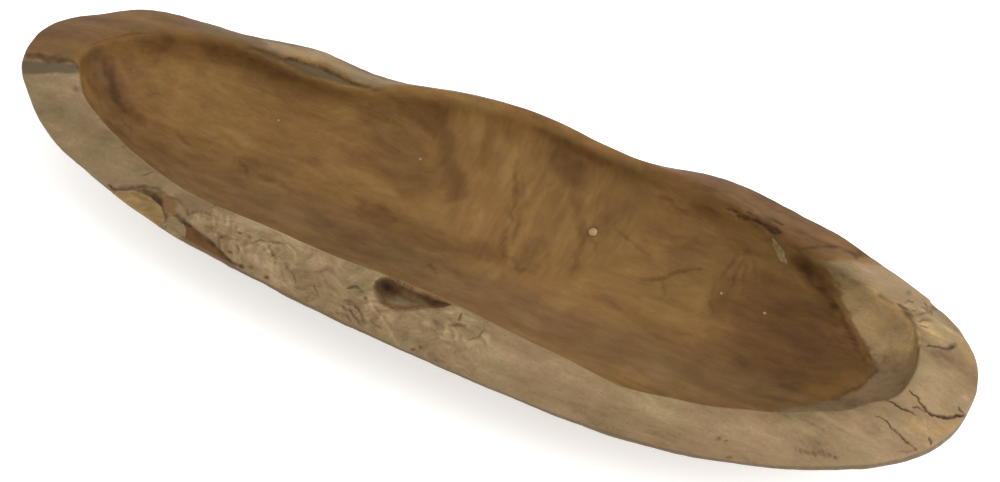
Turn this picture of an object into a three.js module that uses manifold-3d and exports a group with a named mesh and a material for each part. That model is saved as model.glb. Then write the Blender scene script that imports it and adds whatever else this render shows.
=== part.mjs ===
// A dugout wooden fruit bowl: a hollowed log with its natural outer edge, and the fills set into it.
// Millimetres, +Z up. +X runs along the log to its fuller end, +Y to the far side.
// The origin lies under the middle of the bowl, on the surface that it stands on.
import * as THREE from 'three';
import { mergeVertices } from 'three/addons/utils/BufferGeometryUtils.js';
import Module from 'manifold-3d';

// The log from above
const LENGTH = 816;
const WIDTH = 266;
const BEAM_AT = 70; // widest station, right of the middle
const RIM_TIP_AT = 14; // the rim's two tips lie this far towards the far side
const MOUTH_TIP_AT = 2; // the same for the mouth and the floor
const RIM_FULLNESS_LEFT = 2.13; // exponents of the outline, 2 being an ellipse
const RIM_FULLNESS_RIGHT = 2.5;
const MOUTH_FULLNESS_LEFT = 2.1;
const MOUTH_FULLNESS_RIGHT = 2.3;

// The rim, which slopes down from the mouth's crest to its outer edge
const RIM_HEIGHT = 70; // outer edge above the base
const RIM_WIDTH_LEFT = 56;
const RIM_WIDTH_RIGHT = 44;
const RIM_WIDTH_NEAR = 36;
const RIM_WIDTH_FAR = 22;
const CREST_RISE_LEFT = 10; // crest above the outer edge
const CREST_RISE_RIGHT = 12;
const CREST_RISE_NEAR = 16;
const CREST_RISE_FAR = 9;
const EDGE_RADIUS = 3;
const CREST_BEVEL = 2.5;

// Swells of the natural edge: place and reach in degrees round the bowl, size in millimetres
const RIM_SWELLS = [
  { at: 61, reach: 6, out: 4, up: 0 },
  { at: 75, reach: 8, out: 3.5, up: 4 },
  { at: 87.5, reach: 5, out: -6, up: -5 },
  { at: 108, reach: 6, out: -3, up: -1 },
  { at: 114, reach: 7, out: -7, up: -7 },
  { at: 130, reach: 7, out: -4, up: -3 },
  { at: 149, reach: 7, out: 6, up: 1 },
  { at: 237, reach: 11, out: 4.5, up: 0 },
  { at: 318, reach: 18, out: -5, up: 0 },
];
const MOUTH_SWELLS = [
  { at: 15, reach: 10, out: 3.5, up: 0 },
  { at: 27, reach: 7, out: 8, up: 0 },
  { at: 58, reach: 18, out: -6.5, up: 0 },
  { at: 97, reach: 7, out: 9, up: 0 },
  { at: 122.5, reach: 10, out: -17, up: -4 },
  { at: 192, reach: 11, out: -6, up: 0 },
  { at: 224, reach: 8, out: 4.5, up: 0 },
  { at: 236, reach: 9, out: 9, up: 0 },
  { at: 266, reach: 8.5, out: -7.5, up: 0 },
  { at: 292, reach: 7, out: 8, up: 0 },
  { at: 303, reach: 7, out: 4.5, up: 0 },
  { at: 328, reach: 9, out: -5, up: 0 },
  { at: 343, reach: 8, out: -6.5, up: 0 },
];
const CREST_FOLLOW_SHARE = 0.5; // share of a rim swell's height that the crest takes

// The hull and the flat base
const BASE_END_INSET = 150;
const BASE_SIDE_INSET = 84;
const BELLY_OUT_SHARE = 0.55; // bend of the hull's section, 0.5 and 0.5 being straight
const BELLY_UP_SHARE = 0.36;

// The cavity
const FLOOR_THICKNESS = 18;
const END_RUN = 130; // length of the slope at each end of the floor
const WALL_FULLNESS = 2.15;
const WALL_FIRST_SHARE = 0.04; // shares of the wall's quarter turn where its rings begin and end
const WALL_LAST_SHARE = 0.96;

// The open knot hollow in the near rim
const KNOT_LENGTH = 54;
const KNOT_WIDTH = 21;
const KNOT_DEPTH = 9;
const KNOT_AT = { angle: 264.8, share: 0.69 };

// What is set into the wood, each with a glue line round it
const GLUE_LINE = 0.3;
const PLUG_DIAMETER = 7.5;
const PLUG_LENGTH = 10;
const PLUG_TAPER = 0.1; // share by which the foot is narrower
const PLUG_AT = { angle: 88.2, share: 0.585 };
const PUTTY_LENGTH = 22;
const PUTTY_WIDTH = 8;
const PUTTY_DEPTH = 6;
const PUTTY_TURN = 148; // degrees from the mouth's line
const PUTTY_AT = { angle: 63, share: 0.135 };
const PATCH_LENGTH = 52;
const PATCH_REACH = 14; // inwards from the outer edge
const PATCH_DEPTH = 10;
const PATCH_ANGLE = 236;
const CHIP_LENGTH = 19;
const CHIP_REACH = 7;
const CHIP_DEPTH = 7;
const CHIP_ANGLE = 241.5;
const PIN_DIAMETER = 2.4;
const PIN_LENGTH = 6;
const PINS_AT = [
  { angle: 127.6, share: 0.53 },
  { angle: 106.8, share: 0.53 },
  { angle: 67.5, share: 0.59 },
  { angle: 57.8, share: 0.565 },
];

// Fineness of the surfaces
const COLUMNS = 112;
const HULL_STEPS = 5;
const EDGE_TURNS = [195, 160, 125]; // degrees round the outer edge's radius, after its start
const EDGE_FIRST_TURN = 225;
const RIM_STEPS = 3;
const WALL_STEPS = 11;
const CUTTER_SIDES = 24;
const CUTTER_HEAD = 14; // how far a cutter stands out of the surface
const NUDGE = 0.01; // degrees or shares either side, for directions along a surface

const radians = THREE.MathUtils.degToRad;
const lerp = THREE.MathUtils.lerp;

const RIM = outlineOf(0, 0, 0, 0, RIM_TIP_AT, RIM_FULLNESS_LEFT, RIM_FULLNESS_RIGHT);
const MOUTH = outlineOf(
  RIM_WIDTH_LEFT, RIM_WIDTH_RIGHT, RIM_WIDTH_NEAR, RIM_WIDTH_FAR,
  MOUTH_TIP_AT, MOUTH_FULLNESS_LEFT, MOUTH_FULLNESS_RIGHT,
);
const BASE = outlineOf(
  BASE_END_INSET, BASE_END_INSET, BASE_SIDE_INSET, BASE_SIDE_INSET,
  MOUTH_TIP_AT, RIM_FULLNESS_LEFT, RIM_FULLNESS_RIGHT,
);

// An outline's four reaches from the point where the widest station meets the line of its tips
function outlineOf(left, right, near, far, tipAt, fullLeft, fullRight) {
  return {
    left: LENGTH / 2 + BEAM_AT - left,
    right: LENGTH / 2 - BEAM_AT - right,
    near: WIDTH / 2 + tipAt - near,
    far: WIDTH / 2 - tipAt - far,
    tipAt,
    fullLeft,
    fullRight,
  };
}

function signedPower(value, power) {
  return Math.sign(value) * Math.abs(value) ** power;
}

// A point of an outline, by its angle in degrees: 0 at the right tip, 90 at the far side
function onOutline(outline, angle) {
  const cos = Math.cos(radians(angle));
  const sin = Math.sin(radians(angle));
  const power = 2 / (cos > 0 ? outline.fullRight : outline.fullLeft);
  const reachX = cos > 0 ? outline.right : outline.left;
  const reachY = sin > 0 ? outline.far : outline.near;
  return new THREE.Vector2(
    BEAM_AT + reachX * signedPower(cos, power),
    outline.tipAt + reachY * signedPower(sin, power),
  );
}

// The angle at which an inner outline stands square to the rim, so that sections don't lean
function innerAngle(outline, angle) {
  const cos = Math.cos(radians(angle));
  const sin = Math.sin(radians(angle));
  const ratio = cos > 0 ? outline.right / RIM.right : outline.left / RIM.left;
  const full = cos > 0 ? outline.fullRight : outline.fullLeft;
  return THREE.MathUtils.radToDeg(Math.atan2(sin * ratio ** (full / 2), cos));
}

function outward(outline, angle) {
  const along = onOutline(outline, angle + NUDGE).sub(onOutline(outline, angle - NUDGE));
  return new THREE.Vector2(along.y, -along.x).normalize();
}

function swell(swells, angle, size) {
  let total = 0;
  for (const one of swells) {
    const away = THREE.MathUtils.euclideanModulo(angle - one.at + 180, 360) - 180;
    total += one[size] * Math.exp(-((away / one.reach) ** 2));
  }
  return total;
}

// A value that changes smoothly round the bowl between its right, far, left and near sides
function roundTheBowl(angle, right, far, left, near) {
  const cos = Math.cos(radians(angle));
  const sin = Math.sin(radians(angle));
  return cos * cos * (cos > 0 ? right : left) + sin * sin * (sin > 0 ? far : near);
}

function withHeight(point, height) {
  return new THREE.Vector3(point.x, point.y, height);
}

function rimEdge(angle) {
  const point = onOutline(RIM, angle);
  point.addScaledVector(outward(RIM, angle), swell(RIM_SWELLS, angle, 'out'));
  return withHeight(point, RIM_HEIGHT + swell(RIM_SWELLS, angle, 'up'));
}

function mouthEdge(angle) {
  const inner = innerAngle(MOUTH, angle);
  const point = onOutline(MOUTH, inner);
  point.addScaledVector(outward(MOUTH, inner), swell(MOUTH_SWELLS, inner, 'out'));
  const rise = roundTheBowl(
    angle, CREST_RISE_RIGHT, CREST_RISE_FAR, CREST_RISE_LEFT, CREST_RISE_NEAR,
  );
  const waves = CREST_FOLLOW_SHARE * swell(RIM_SWELLS, angle, 'up') + swell(MOUTH_SWELLS, inner, 'up');
  return withHeight(point, RIM_HEIGHT + rise + waves);
}

// The point of the floor's middle line where a section of the wall ends
function floorLine(angle) {
  const along = onOutline(MOUTH, innerAngle(MOUTH, angle)).x - BEAM_AT;
  const reach = along > 0 ? MOUTH.right : MOUTH.left;
  const flat = reach - END_RUN;
  const share = Math.min(Math.abs(along) / reach, 1);
  const x = BEAM_AT + Math.sign(along) * flat * (1 - (1 - share) ** (reach / flat));
  return new THREE.Vector3(x, MOUTH_TIP_AT, FLOOR_THICKNESS);
}

// The cavity's wall, from share 0 at the mouth to share 1 on the floor's middle line
function wallPoint(angle, share) {
  const mouth = mouthEdge(angle);
  const floor = floorLine(angle);
  const turn = radians(90 * share);
  const across = Math.cos(turn) ** (2 / WALL_FULLNESS);
  const down = Math.sin(turn) ** (2 / WALL_FULLNESS);
  return new THREE.Vector3(
    lerp(floor.x, mouth.x, across),
    lerp(floor.y, mouth.y, across),
    lerp(mouth.z, floor.z, down),
  );
}

// The rim's top, from share 0 at the outer edge to share 1 at the mouth
function rimTopPoint(angle, share) {
  return rimEdge(angle).lerp(mouthEdge(angle), share);
}

function inwardAt(angle) {
  const across = mouthEdge(angle).sub(rimEdge(angle)).setZ(0);
  return { width: across.length(), direction: across.normalize() };
}

// A point of the rounded outer edge, by the degrees round its radius
function edgePoint(angle, turn) {
  const point = rimEdge(angle);
  const inwards = EDGE_RADIUS * (1 + Math.cos(radians(turn)));
  point.addScaledVector(inwardAt(angle).direction, inwards);
  point.z += EDGE_RADIUS * (Math.sin(radians(turn)) - 1);
  return point;
}

// One section of the bowl, from the base's edge over the rim to the floor
function section(angle) {
  const foot = withHeight(onOutline(BASE, innerAngle(BASE, angle)), 0);
  const points = [foot];
  const hullTop = edgePoint(angle, EDGE_FIRST_TURN);
  for (let step = 1; step <= HULL_STEPS; step += 1) {
    const part = step / HULL_STEPS;
    const out = 2 * part * (1 - part) * BELLY_OUT_SHARE + part * part;
    const up = 2 * part * (1 - part) * BELLY_UP_SHARE + part * part;
    const point = foot.clone().lerp(hullTop, out);
    points.push(point.setZ(hullTop.z * up));
  }
  for (const turn of EDGE_TURNS) {
    points.push(edgePoint(angle, turn));
  }
  const edgeTop = points.at(-1);
  const crest = mouthEdge(angle).addScaledVector(inwardAt(angle).direction, -CREST_BEVEL);
  for (let step = 1; step <= RIM_STEPS; step += 1) {
    points.push(edgeTop.clone().lerp(crest, step / RIM_STEPS));
  }
  for (let step = 0; step <= WALL_STEPS; step += 1) {
    points.push(wallPoint(angle, lerp(WALL_FIRST_SHARE, WALL_LAST_SHARE, step / WALL_STEPS)));
  }
  return points;
}

// Triangles that close a ring of points, strip by strip from its right tip to its left tip
function closeRing(first, facesUp) {
  const triangles = [];
  for (let step = 0; step < COLUMNS / 2; step += 1) {
    const far = first + step;
    const near = first + ((COLUMNS - step) % COLUMNS);
    const nextNear = first + COLUMNS - step - 1;
    if (step < COLUMNS / 2 - 1) {
      triangles.push([far, far + 1, nextNear]);
    }
    if (step > 0) {
      triangles.push(step < COLUMNS / 2 - 1 ? [far, nextNear, near] : [far, far + 1, near]);
    }
  }
  return triangles.flatMap(([a, b, c]) => (facesUp ? [a, b, c] : [a, c, b]));
}

function logGeometry() {
  const sections = [];
  for (let column = 0; column < COLUMNS; column += 1) {
    sections.push(section((360 * column) / COLUMNS));
  }
  const rings = sections[0].length;
  const positions = [];
  const triangles = [];
  for (let ring = 0; ring < rings; ring += 1) {
    for (let column = 0; column < COLUMNS; column += 1) {
      positions.push(...sections[column][ring].toArray());
      if (ring > 0) {
        const below = (ring - 1) * COLUMNS + column;
        const nextBelow = (ring - 1) * COLUMNS + ((column + 1) % COLUMNS);
        triangles.push(below, nextBelow, nextBelow + COLUMNS);
        triangles.push(below, nextBelow + COLUMNS, below + COLUMNS);
      }
    }
  }
  triangles.push(...closeRing(0, false));
  triangles.push(...closeRing((rings - 1) * COLUMNS, true));
  const geometry = new THREE.BufferGeometry();
  geometry.setAttribute('position', new THREE.Float32BufferAttribute(positions, 3));
  geometry.setIndex(triangles);
  return geometry;
}

// Solids to cut and join, and back to geometry
const wasm = await Module();
wasm.setup();

function solidOf(geometry) {
  geometry.deleteAttribute('normal');
  geometry.deleteAttribute('uv');
  const merged = mergeVertices(geometry);
  return new wasm.Manifold(new wasm.Mesh({
    numProp: 3,
    vertProperties: new Float32Array(merged.attributes.position.array),
    triVerts: new Uint32Array(merged.index.array),
  }));
}

function geometryOf(solid) {
  const mesh = solid.getMesh();
  const geometry = new THREE.BufferGeometry();
  geometry.setAttribute('position', new THREE.BufferAttribute(mesh.vertProperties, 3));
  geometry.setIndex(new THREE.BufferAttribute(mesh.triVerts, 1));
  geometry.computeVertexNormals();
  return geometry;
}

// A frame on a surface: X along the bowl's outline, Z out of the wood
function frameOn(pointAt, { angle, share }) {
  const along = pointAt(angle + NUDGE, share).sub(pointAt(angle - NUDGE, share)).normalize();
  const across = pointAt(angle, share + NUDGE).sub(pointAt(angle, share - NUDGE)).normalize();
  const out = along.clone().cross(across).normalize();
  const frame = new THREE.Matrix4().makeBasis(along, out.clone().cross(along), out);
  return frame.setPosition(pointAt(angle, share));
}

// An upright frame on the rim's outer edge
function frameOnEdge(angle) {
  const along = rimEdge(angle + NUDGE).sub(rimEdge(angle - NUDGE)).setZ(0).normalize();
  const up = new THREE.Vector3(0, 0, 1);
  const frame = new THREE.Matrix4().makeBasis(along, up.clone().cross(along), up);
  return frame.setPosition(rimEdge(angle));
}

// An oval column that stands in the wood to a depth, grown all round by a gap
function ovalColumn(length, width, depth, taper, gap) {
  const height = depth + gap + CUTTER_HEAD;
  const column = new THREE.CylinderGeometry(1, 1 - taper, height, CUTTER_SIDES);
  column.rotateX(Math.PI / 2);
  column.scale(length / 2 + gap, width / 2 + gap, 1);
  column.translate(0, 0, CUTTER_HEAD - height / 2);
  return column;
}

const uncut = solidOf(logGeometry());

function knotHollow() {
  const hollow = new THREE.SphereGeometry(1, CUTTER_SIDES, CUTTER_SIDES / 2);
  hollow.scale(KNOT_LENGTH / 2, KNOT_WIDTH / 2, KNOT_DEPTH);
  hollow.applyMatrix4(frameOn(rimTopPoint, KNOT_AT));
  return solidOf(hollow);
}

let body = uncut.subtract(knotHollow());

// Set a fill into the body: its pocket is cut, and its face stays flush with the wood
function setIn(name, frame, material, length, width, depth, taper = 0) {
  const pocket = ovalColumn(length, width, depth, taper, GLUE_LINE).applyMatrix4(frame);
  const fill = ovalColumn(length, width, depth, taper, 0).applyMatrix4(frame);
  body = body.subtract(solidOf(pocket));
  return named(name, geometryOf(uncut.intersect(solidOf(fill))), material);
}

function named(name, geometry, material) {
  const mesh = new THREE.Mesh(geometry, material);
  mesh.name = name;
  return mesh;
}

function finish(color, roughness) {
  return new THREE.MeshStandardMaterial({ color, roughness, metalness: 0 });
}

const palePlug = finish(0xa68a62, 0.6);
const putty = finish(0x6c5d3c, 0.8);
const goldenWood = finish(0x94794a, 0.6);
const paleChip = finish(0x8c7650, 0.65);
const pinFiller = finish(0x9c8468, 0.75);
const oiledTeak = finish(0x86653e, 0.5);

function plug() {
  const frame = frameOn(wallPoint, PLUG_AT);
  return setIn('knot_plug', frame, palePlug, PLUG_DIAMETER, PLUG_DIAMETER, PLUG_LENGTH, PLUG_TAPER);
}

function barkPutty() {
  const frame = frameOn(wallPoint, PUTTY_AT);
  frame.multiply(new THREE.Matrix4().makeRotationZ(radians(PUTTY_TURN)));
  return setIn('bark_putty', frame, putty, PUTTY_LENGTH, PUTTY_WIDTH, PUTTY_DEPTH);
}

function edgePatch() {
  const frame = frameOnEdge(PATCH_ANGLE);
  return setIn('edge_patch', frame, goldenWood, PATCH_LENGTH, 2 * PATCH_REACH, PATCH_DEPTH);
}

function edgeChip() {
  const frame = frameOnEdge(CHIP_ANGLE);
  return setIn('edge_chip', frame, paleChip, CHIP_LENGTH, 2 * CHIP_REACH, CHIP_DEPTH);
}

function pinFill(place, index) {
  const frame = frameOn(wallPoint, place);
  const name = `pin_fill_${index + 1}`;
  return setIn(name, frame, pinFiller, PIN_DIAMETER, PIN_DIAMETER, PIN_LENGTH);
}

const bowl = new THREE.Group();
bowl.name = 'fruit_bowl';
bowl.add(plug(), barkPutty(), edgePatch(), edgeChip(), ...PINS_AT.map(pinFill));
bowl.add(named('bowl_body', geometryOf(body), oiledTeak));

// The swells move the outline off centre, so the whole bowl is set back over the origin
const box = new THREE.Box3().setFromObject(bowl);
const middle = box.getCenter(new THREE.Vector3());
bowl.position.set(-middle.x, -middle.y, -box.min.z);
bowl.updateMatrixWorld(true);

export default bowl;
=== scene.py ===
"""A dugout wooden fruit bowl: the carved log as one fine mesh, its fills, a pale floor and soft light.

Sizes are in millimetres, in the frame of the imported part, and become metres where meshes are made.
Marks of the wood are placed by their pixels in the photograph, 1000 by 482. The camera's own lines of
sight carry them onto the surface, where they stay as values of the mesh and show from every side.
"""

import math
from collections import namedtuple

import bmesh
import bpy
import numpy as np
from mathutils import Matrix, Vector, noise
from mathutils.bvhtree import BVHTree


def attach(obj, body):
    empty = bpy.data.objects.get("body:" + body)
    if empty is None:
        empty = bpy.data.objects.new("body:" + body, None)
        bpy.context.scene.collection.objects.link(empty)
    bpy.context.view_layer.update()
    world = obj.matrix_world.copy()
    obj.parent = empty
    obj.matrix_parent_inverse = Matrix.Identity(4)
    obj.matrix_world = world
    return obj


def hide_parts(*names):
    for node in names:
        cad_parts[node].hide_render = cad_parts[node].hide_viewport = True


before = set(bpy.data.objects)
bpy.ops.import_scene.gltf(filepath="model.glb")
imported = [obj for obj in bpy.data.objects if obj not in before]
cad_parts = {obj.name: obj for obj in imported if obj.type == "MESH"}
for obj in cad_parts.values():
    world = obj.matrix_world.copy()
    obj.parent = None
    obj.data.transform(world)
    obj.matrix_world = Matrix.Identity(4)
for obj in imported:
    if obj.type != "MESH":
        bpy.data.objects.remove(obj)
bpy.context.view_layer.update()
MM = 0.001

# The log from above
LENGTH = 816.0
WIDTH = 266.0
BEAM_AT = 70.0
RIM_TIP_AT = 14.0
MOUTH_TIP_AT = 2.0
RIM_FULLNESS = (2.13, 2.5)
MOUTH_FULLNESS = (2.1, 2.3)

# The rim
RIM_HEIGHT = 70.0
RIM_WIDTH = {"left": 56.0, "right": 44.0, "near": 36.0, "far": 22.0}
CREST_RISE = {"left": 10.0, "right": 12.0, "near": 16.0, "far": 9.0}
EDGE_RADIUS = 3.0
EDGE_FACE = {"left": 1.0, "right": 3.5, "near": 1.5, "far": 3.0}
CREST_RADIUS = {"left": 4.5, "right": 2.0, "near": 1.6, "far": 6.5}
LIP_SHARE = {"left": 0.07, "right": 0.045, "near": 0.04, "far": 0.12}
RIM_CROWN = 0.8
CREST_FOLLOW_SHARE = 0.5
# Turns round the outer edge in degrees: where the hull ends, and the first and last of the edge
HULL_END_TURN = 190.0
EDGE_TURNS = (180.0, 118.0)

# Swells of the natural edge: place and reach in degrees, then out and up
RIM_SWELLS = [
    (61, 6, 4, 0),
    (75, 8, 3.5, 4),
    (87.5, 5, -6, -5),
    (108, 6, -3, -1),
    (114, 7, -7, -7),
    (130, 7, -4, -3),
    (149, 7, 6, 1),
    (204, 7, -1, 0),
    (219, 9, 4, 0),
    (237, 11, 4.5, 0),
    (323, 20, -8, 0),
    (345, 12, -2, 0),
]
MOUTH_SWELLS = [
    (15, 10, 3.5, 0),
    (27, 7, 8, 0),
    (58, 18, -6.5, 0),
    (94, 9, 0, -5),
    (97, 7, 9, 0),
    (122.5, 10, -17, -4),
    (192, 11, -6, 0),
    (224, 8, 4.5, 0),
    (236, 9, 9, 0),
    (266, 8.5, -7.5, 0),
    (292, 7, 8, 0),
    (303, 7, 4.5, 0),
    (328, 9, -5, 0),
    (343, 8, -6.5, 0),
]

# The hull, the base and the cavity
BASE_INSET = {"left": 150.0, "right": 150.0, "near": 84.0, "far": 84.0}
BELLY_OUT_SHARE = 0.55
BELLY_UP_SHARE = 0.36
FLOOR_THICKNESS = 18.0
END_RUN = 130.0
WALL_FULLNESS = 2.15
LAST_SHARE = 0.992

# Fills in the wall: joint is how dark the line round a fill is, uneven how ragged its outline is
WallFill = namedtuple("WallFill", "angle share length width turn proud joint uneven finish")
WALL_FILLS = {
    "knot_plug": WallFill(88.2, 0.585, 7.5, 7.5, 0, 0.5, 0.45, 0.06, "pale_plug"),
    "bark_putty": WallFill(63.0, 0.135, 22.0, 8.0, 148, 0.3, 0, 0.28, "grey_putty"),
    "pin_fill_1": WallFill(127.6, 0.53, 2.4, 2.4, 0, 0.3, 0, 0.1, "pin_filler"),
    "pin_fill_2": WallFill(106.8, 0.53, 2.4, 2.4, 0, 0.3, 0, 0.1, "pin_filler"),
    "pin_fill_3": WallFill(67.5, 0.59, 2.4, 2.4, 0, 0.3, 0, 0.1, "pin_filler"),
    "pin_fill_4": WallFill(57.8, 0.565, 2.4, 2.4, 0, 0.3, 0, 0.1, "pin_filler"),
}
FILL_DEPTH = 5.0
FILL_SIDES = 36
FILL_RING_SHARES = (0.25, 0.5, 0.72, 0.88, 0.97, 1.0)
FILL_BORDER_SINK = 0.25

# The joint round a fill: place as a share of the fill's radius, width, reach off the wall and groove
JOINT_AT = 1.05
JOINT_WIDTH = 0.8
JOINT_REACH = 15.0
JOINT_GROOVE = 0.5

# Fills in the outer edge: angles along the rim with how far in they reach there
EdgeFill = namedtuple("EdgeFill", "outline proud finish")
EDGE_FILLS = {
    "edge_patch": EdgeFill(
        [(231.6, 1.5), (233.8, 9.5), (235.9, 12.5), (237.9, 11.2), (239.3, 5.6), (239.7, 1.5)],
        0.5, "golden_wood"),
    "edge_chip": EdgeFill(
        [(240.0, 2), (240.4, 7), (241.6, 8.8), (242.3, 6.5), (242.8, 1.5)], 0.4, "pale_chip"),
}
EDGE_FILL_COLUMNS = 44
EDGE_FILL_DROPS = (5.0, 3.4)
EDGE_FILL_CORNER = 0.8
EDGE_FILL_TOP_SHARES = np.linspace(0.12, 1, 12)
EDGE_FILL_SINK = 0.5
EDGE_FILL_DEPTH = 3.5

# Camera
PHOTO_WIDTH = 1000
PHOTO_HEIGHT = 482
AZIMUTH = 29.49
ELEVATION = 46.0
DISTANCE = 1393.1
FIELD_OF_VIEW = 30.0
TARGET = (48.2, -8.4, 70.0)

# Light and floor, in metres and watts
KEY_PLACE = (1.75, 0.05, 1.55)
KEY_SIZE = 1.8
KEY_POWER = 40.0
SKY_STRENGTH = 0.88
FLOOR_REACH = 40.0
FLOOR_GLOW = 0.45

# Fineness of the bowl's mesh
COLUMN_STEP = {"left": 2.8, "right": 2.3, "near": 2.6, "far": 3.3}
HULL_ROWS = 12
EDGE_ROWS = 7
RIM_ROWS = 22
CREST_ROWS = 6
WALL_ROWS = 38
COARSE_REACH = 4.0
FINE_REACH = 2.0
FINE_GROOVE = 0.3

# Marks under these sizes, in pixels, keep sharp borders
FINE_LINE = 2.6
FINE_OVAL = 7.0
FINE_AREA = 3.0

# Unevenness of each surface: height, length of its features and start of its noise. It fades out over
# the foot of the hull, so that the bowl stands level.
UNEVENNESS = {
    "wall": [(0.9, 75, 1), (0.35, 26, 2)],
    "rim": [(0.5, 60, 4), (0.3, 16, 5)],
    "burl": [(0.7, 12, 61)],
    "edge": [(0.5, 22, 10), (0.35, 8, 11)],
    "hull": [(1.2, 80, 7), (0.5, 24, 9)],
}
LEVEL_FOOT = 15.0

# How far the borders of marks wander, in pixels, and the noises that move them: size and two starts
SOFT_STRAY = 5.0
SHARP_STRAY = 0.9
SHARP_RAGGED = 1.1
WIDE_NOISE = (14, (3, 31))
CLOSE_NOISE = (5, (8, 81))
CLOSE_SHARE = 0.5
RAGGED_NOISE = (2.4, (12, 121))

# How marks are drawn: a line's share of width and strength at its ends, its fray along the grain, how
# much wider lines on the wall are, painted shade on the outer edge, and how many widths away each mark
# ends
LINE_END_SHARE = 0.45
LINE_FRAY = (0.85, 0.5)
LINE_FRAY_LIMITS = (0.3, 1.1)
LINE_FRAY_NOISE = (7, 71)
WALL_LINE_SPREAD = 1.7
EDGE_DARK = 0.55
LINE_REACH = 3.0
OVAL_REACH = 2.5
AREA_REACH = 3.0

# Marks of the wood, with some painted light and shade, in groups of one surface and one value
Line = namedtuple("Line", "surface value strength half_width groove points")
Oval = namedtuple("Oval", "surface value strength centre half_sizes tilt")
Area = namedtuple("Area", "surface value strength softness step outline")


def lines(surface, value, **rows):
    """Lines: strength, half width in pixels, groove in millimetres, and points in pixels."""
    return [Line(surface, value, *row[:3], list(row[3:])) for row in rows.values()]


def ovals(surface, value, **rows):
    """Ovals: strength, centre and half sizes in pixels, and tilt in degrees."""
    return [Oval(surface, value, *row) for row in rows.values()]


def areas(surface, value, **rows):
    """Areas of other wood: strength, softness in pixels, step in millimetres, and outline in pixels."""
    return [Area(surface, value, *row[:3], list(row[3:])) for row in rows.values()]


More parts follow.
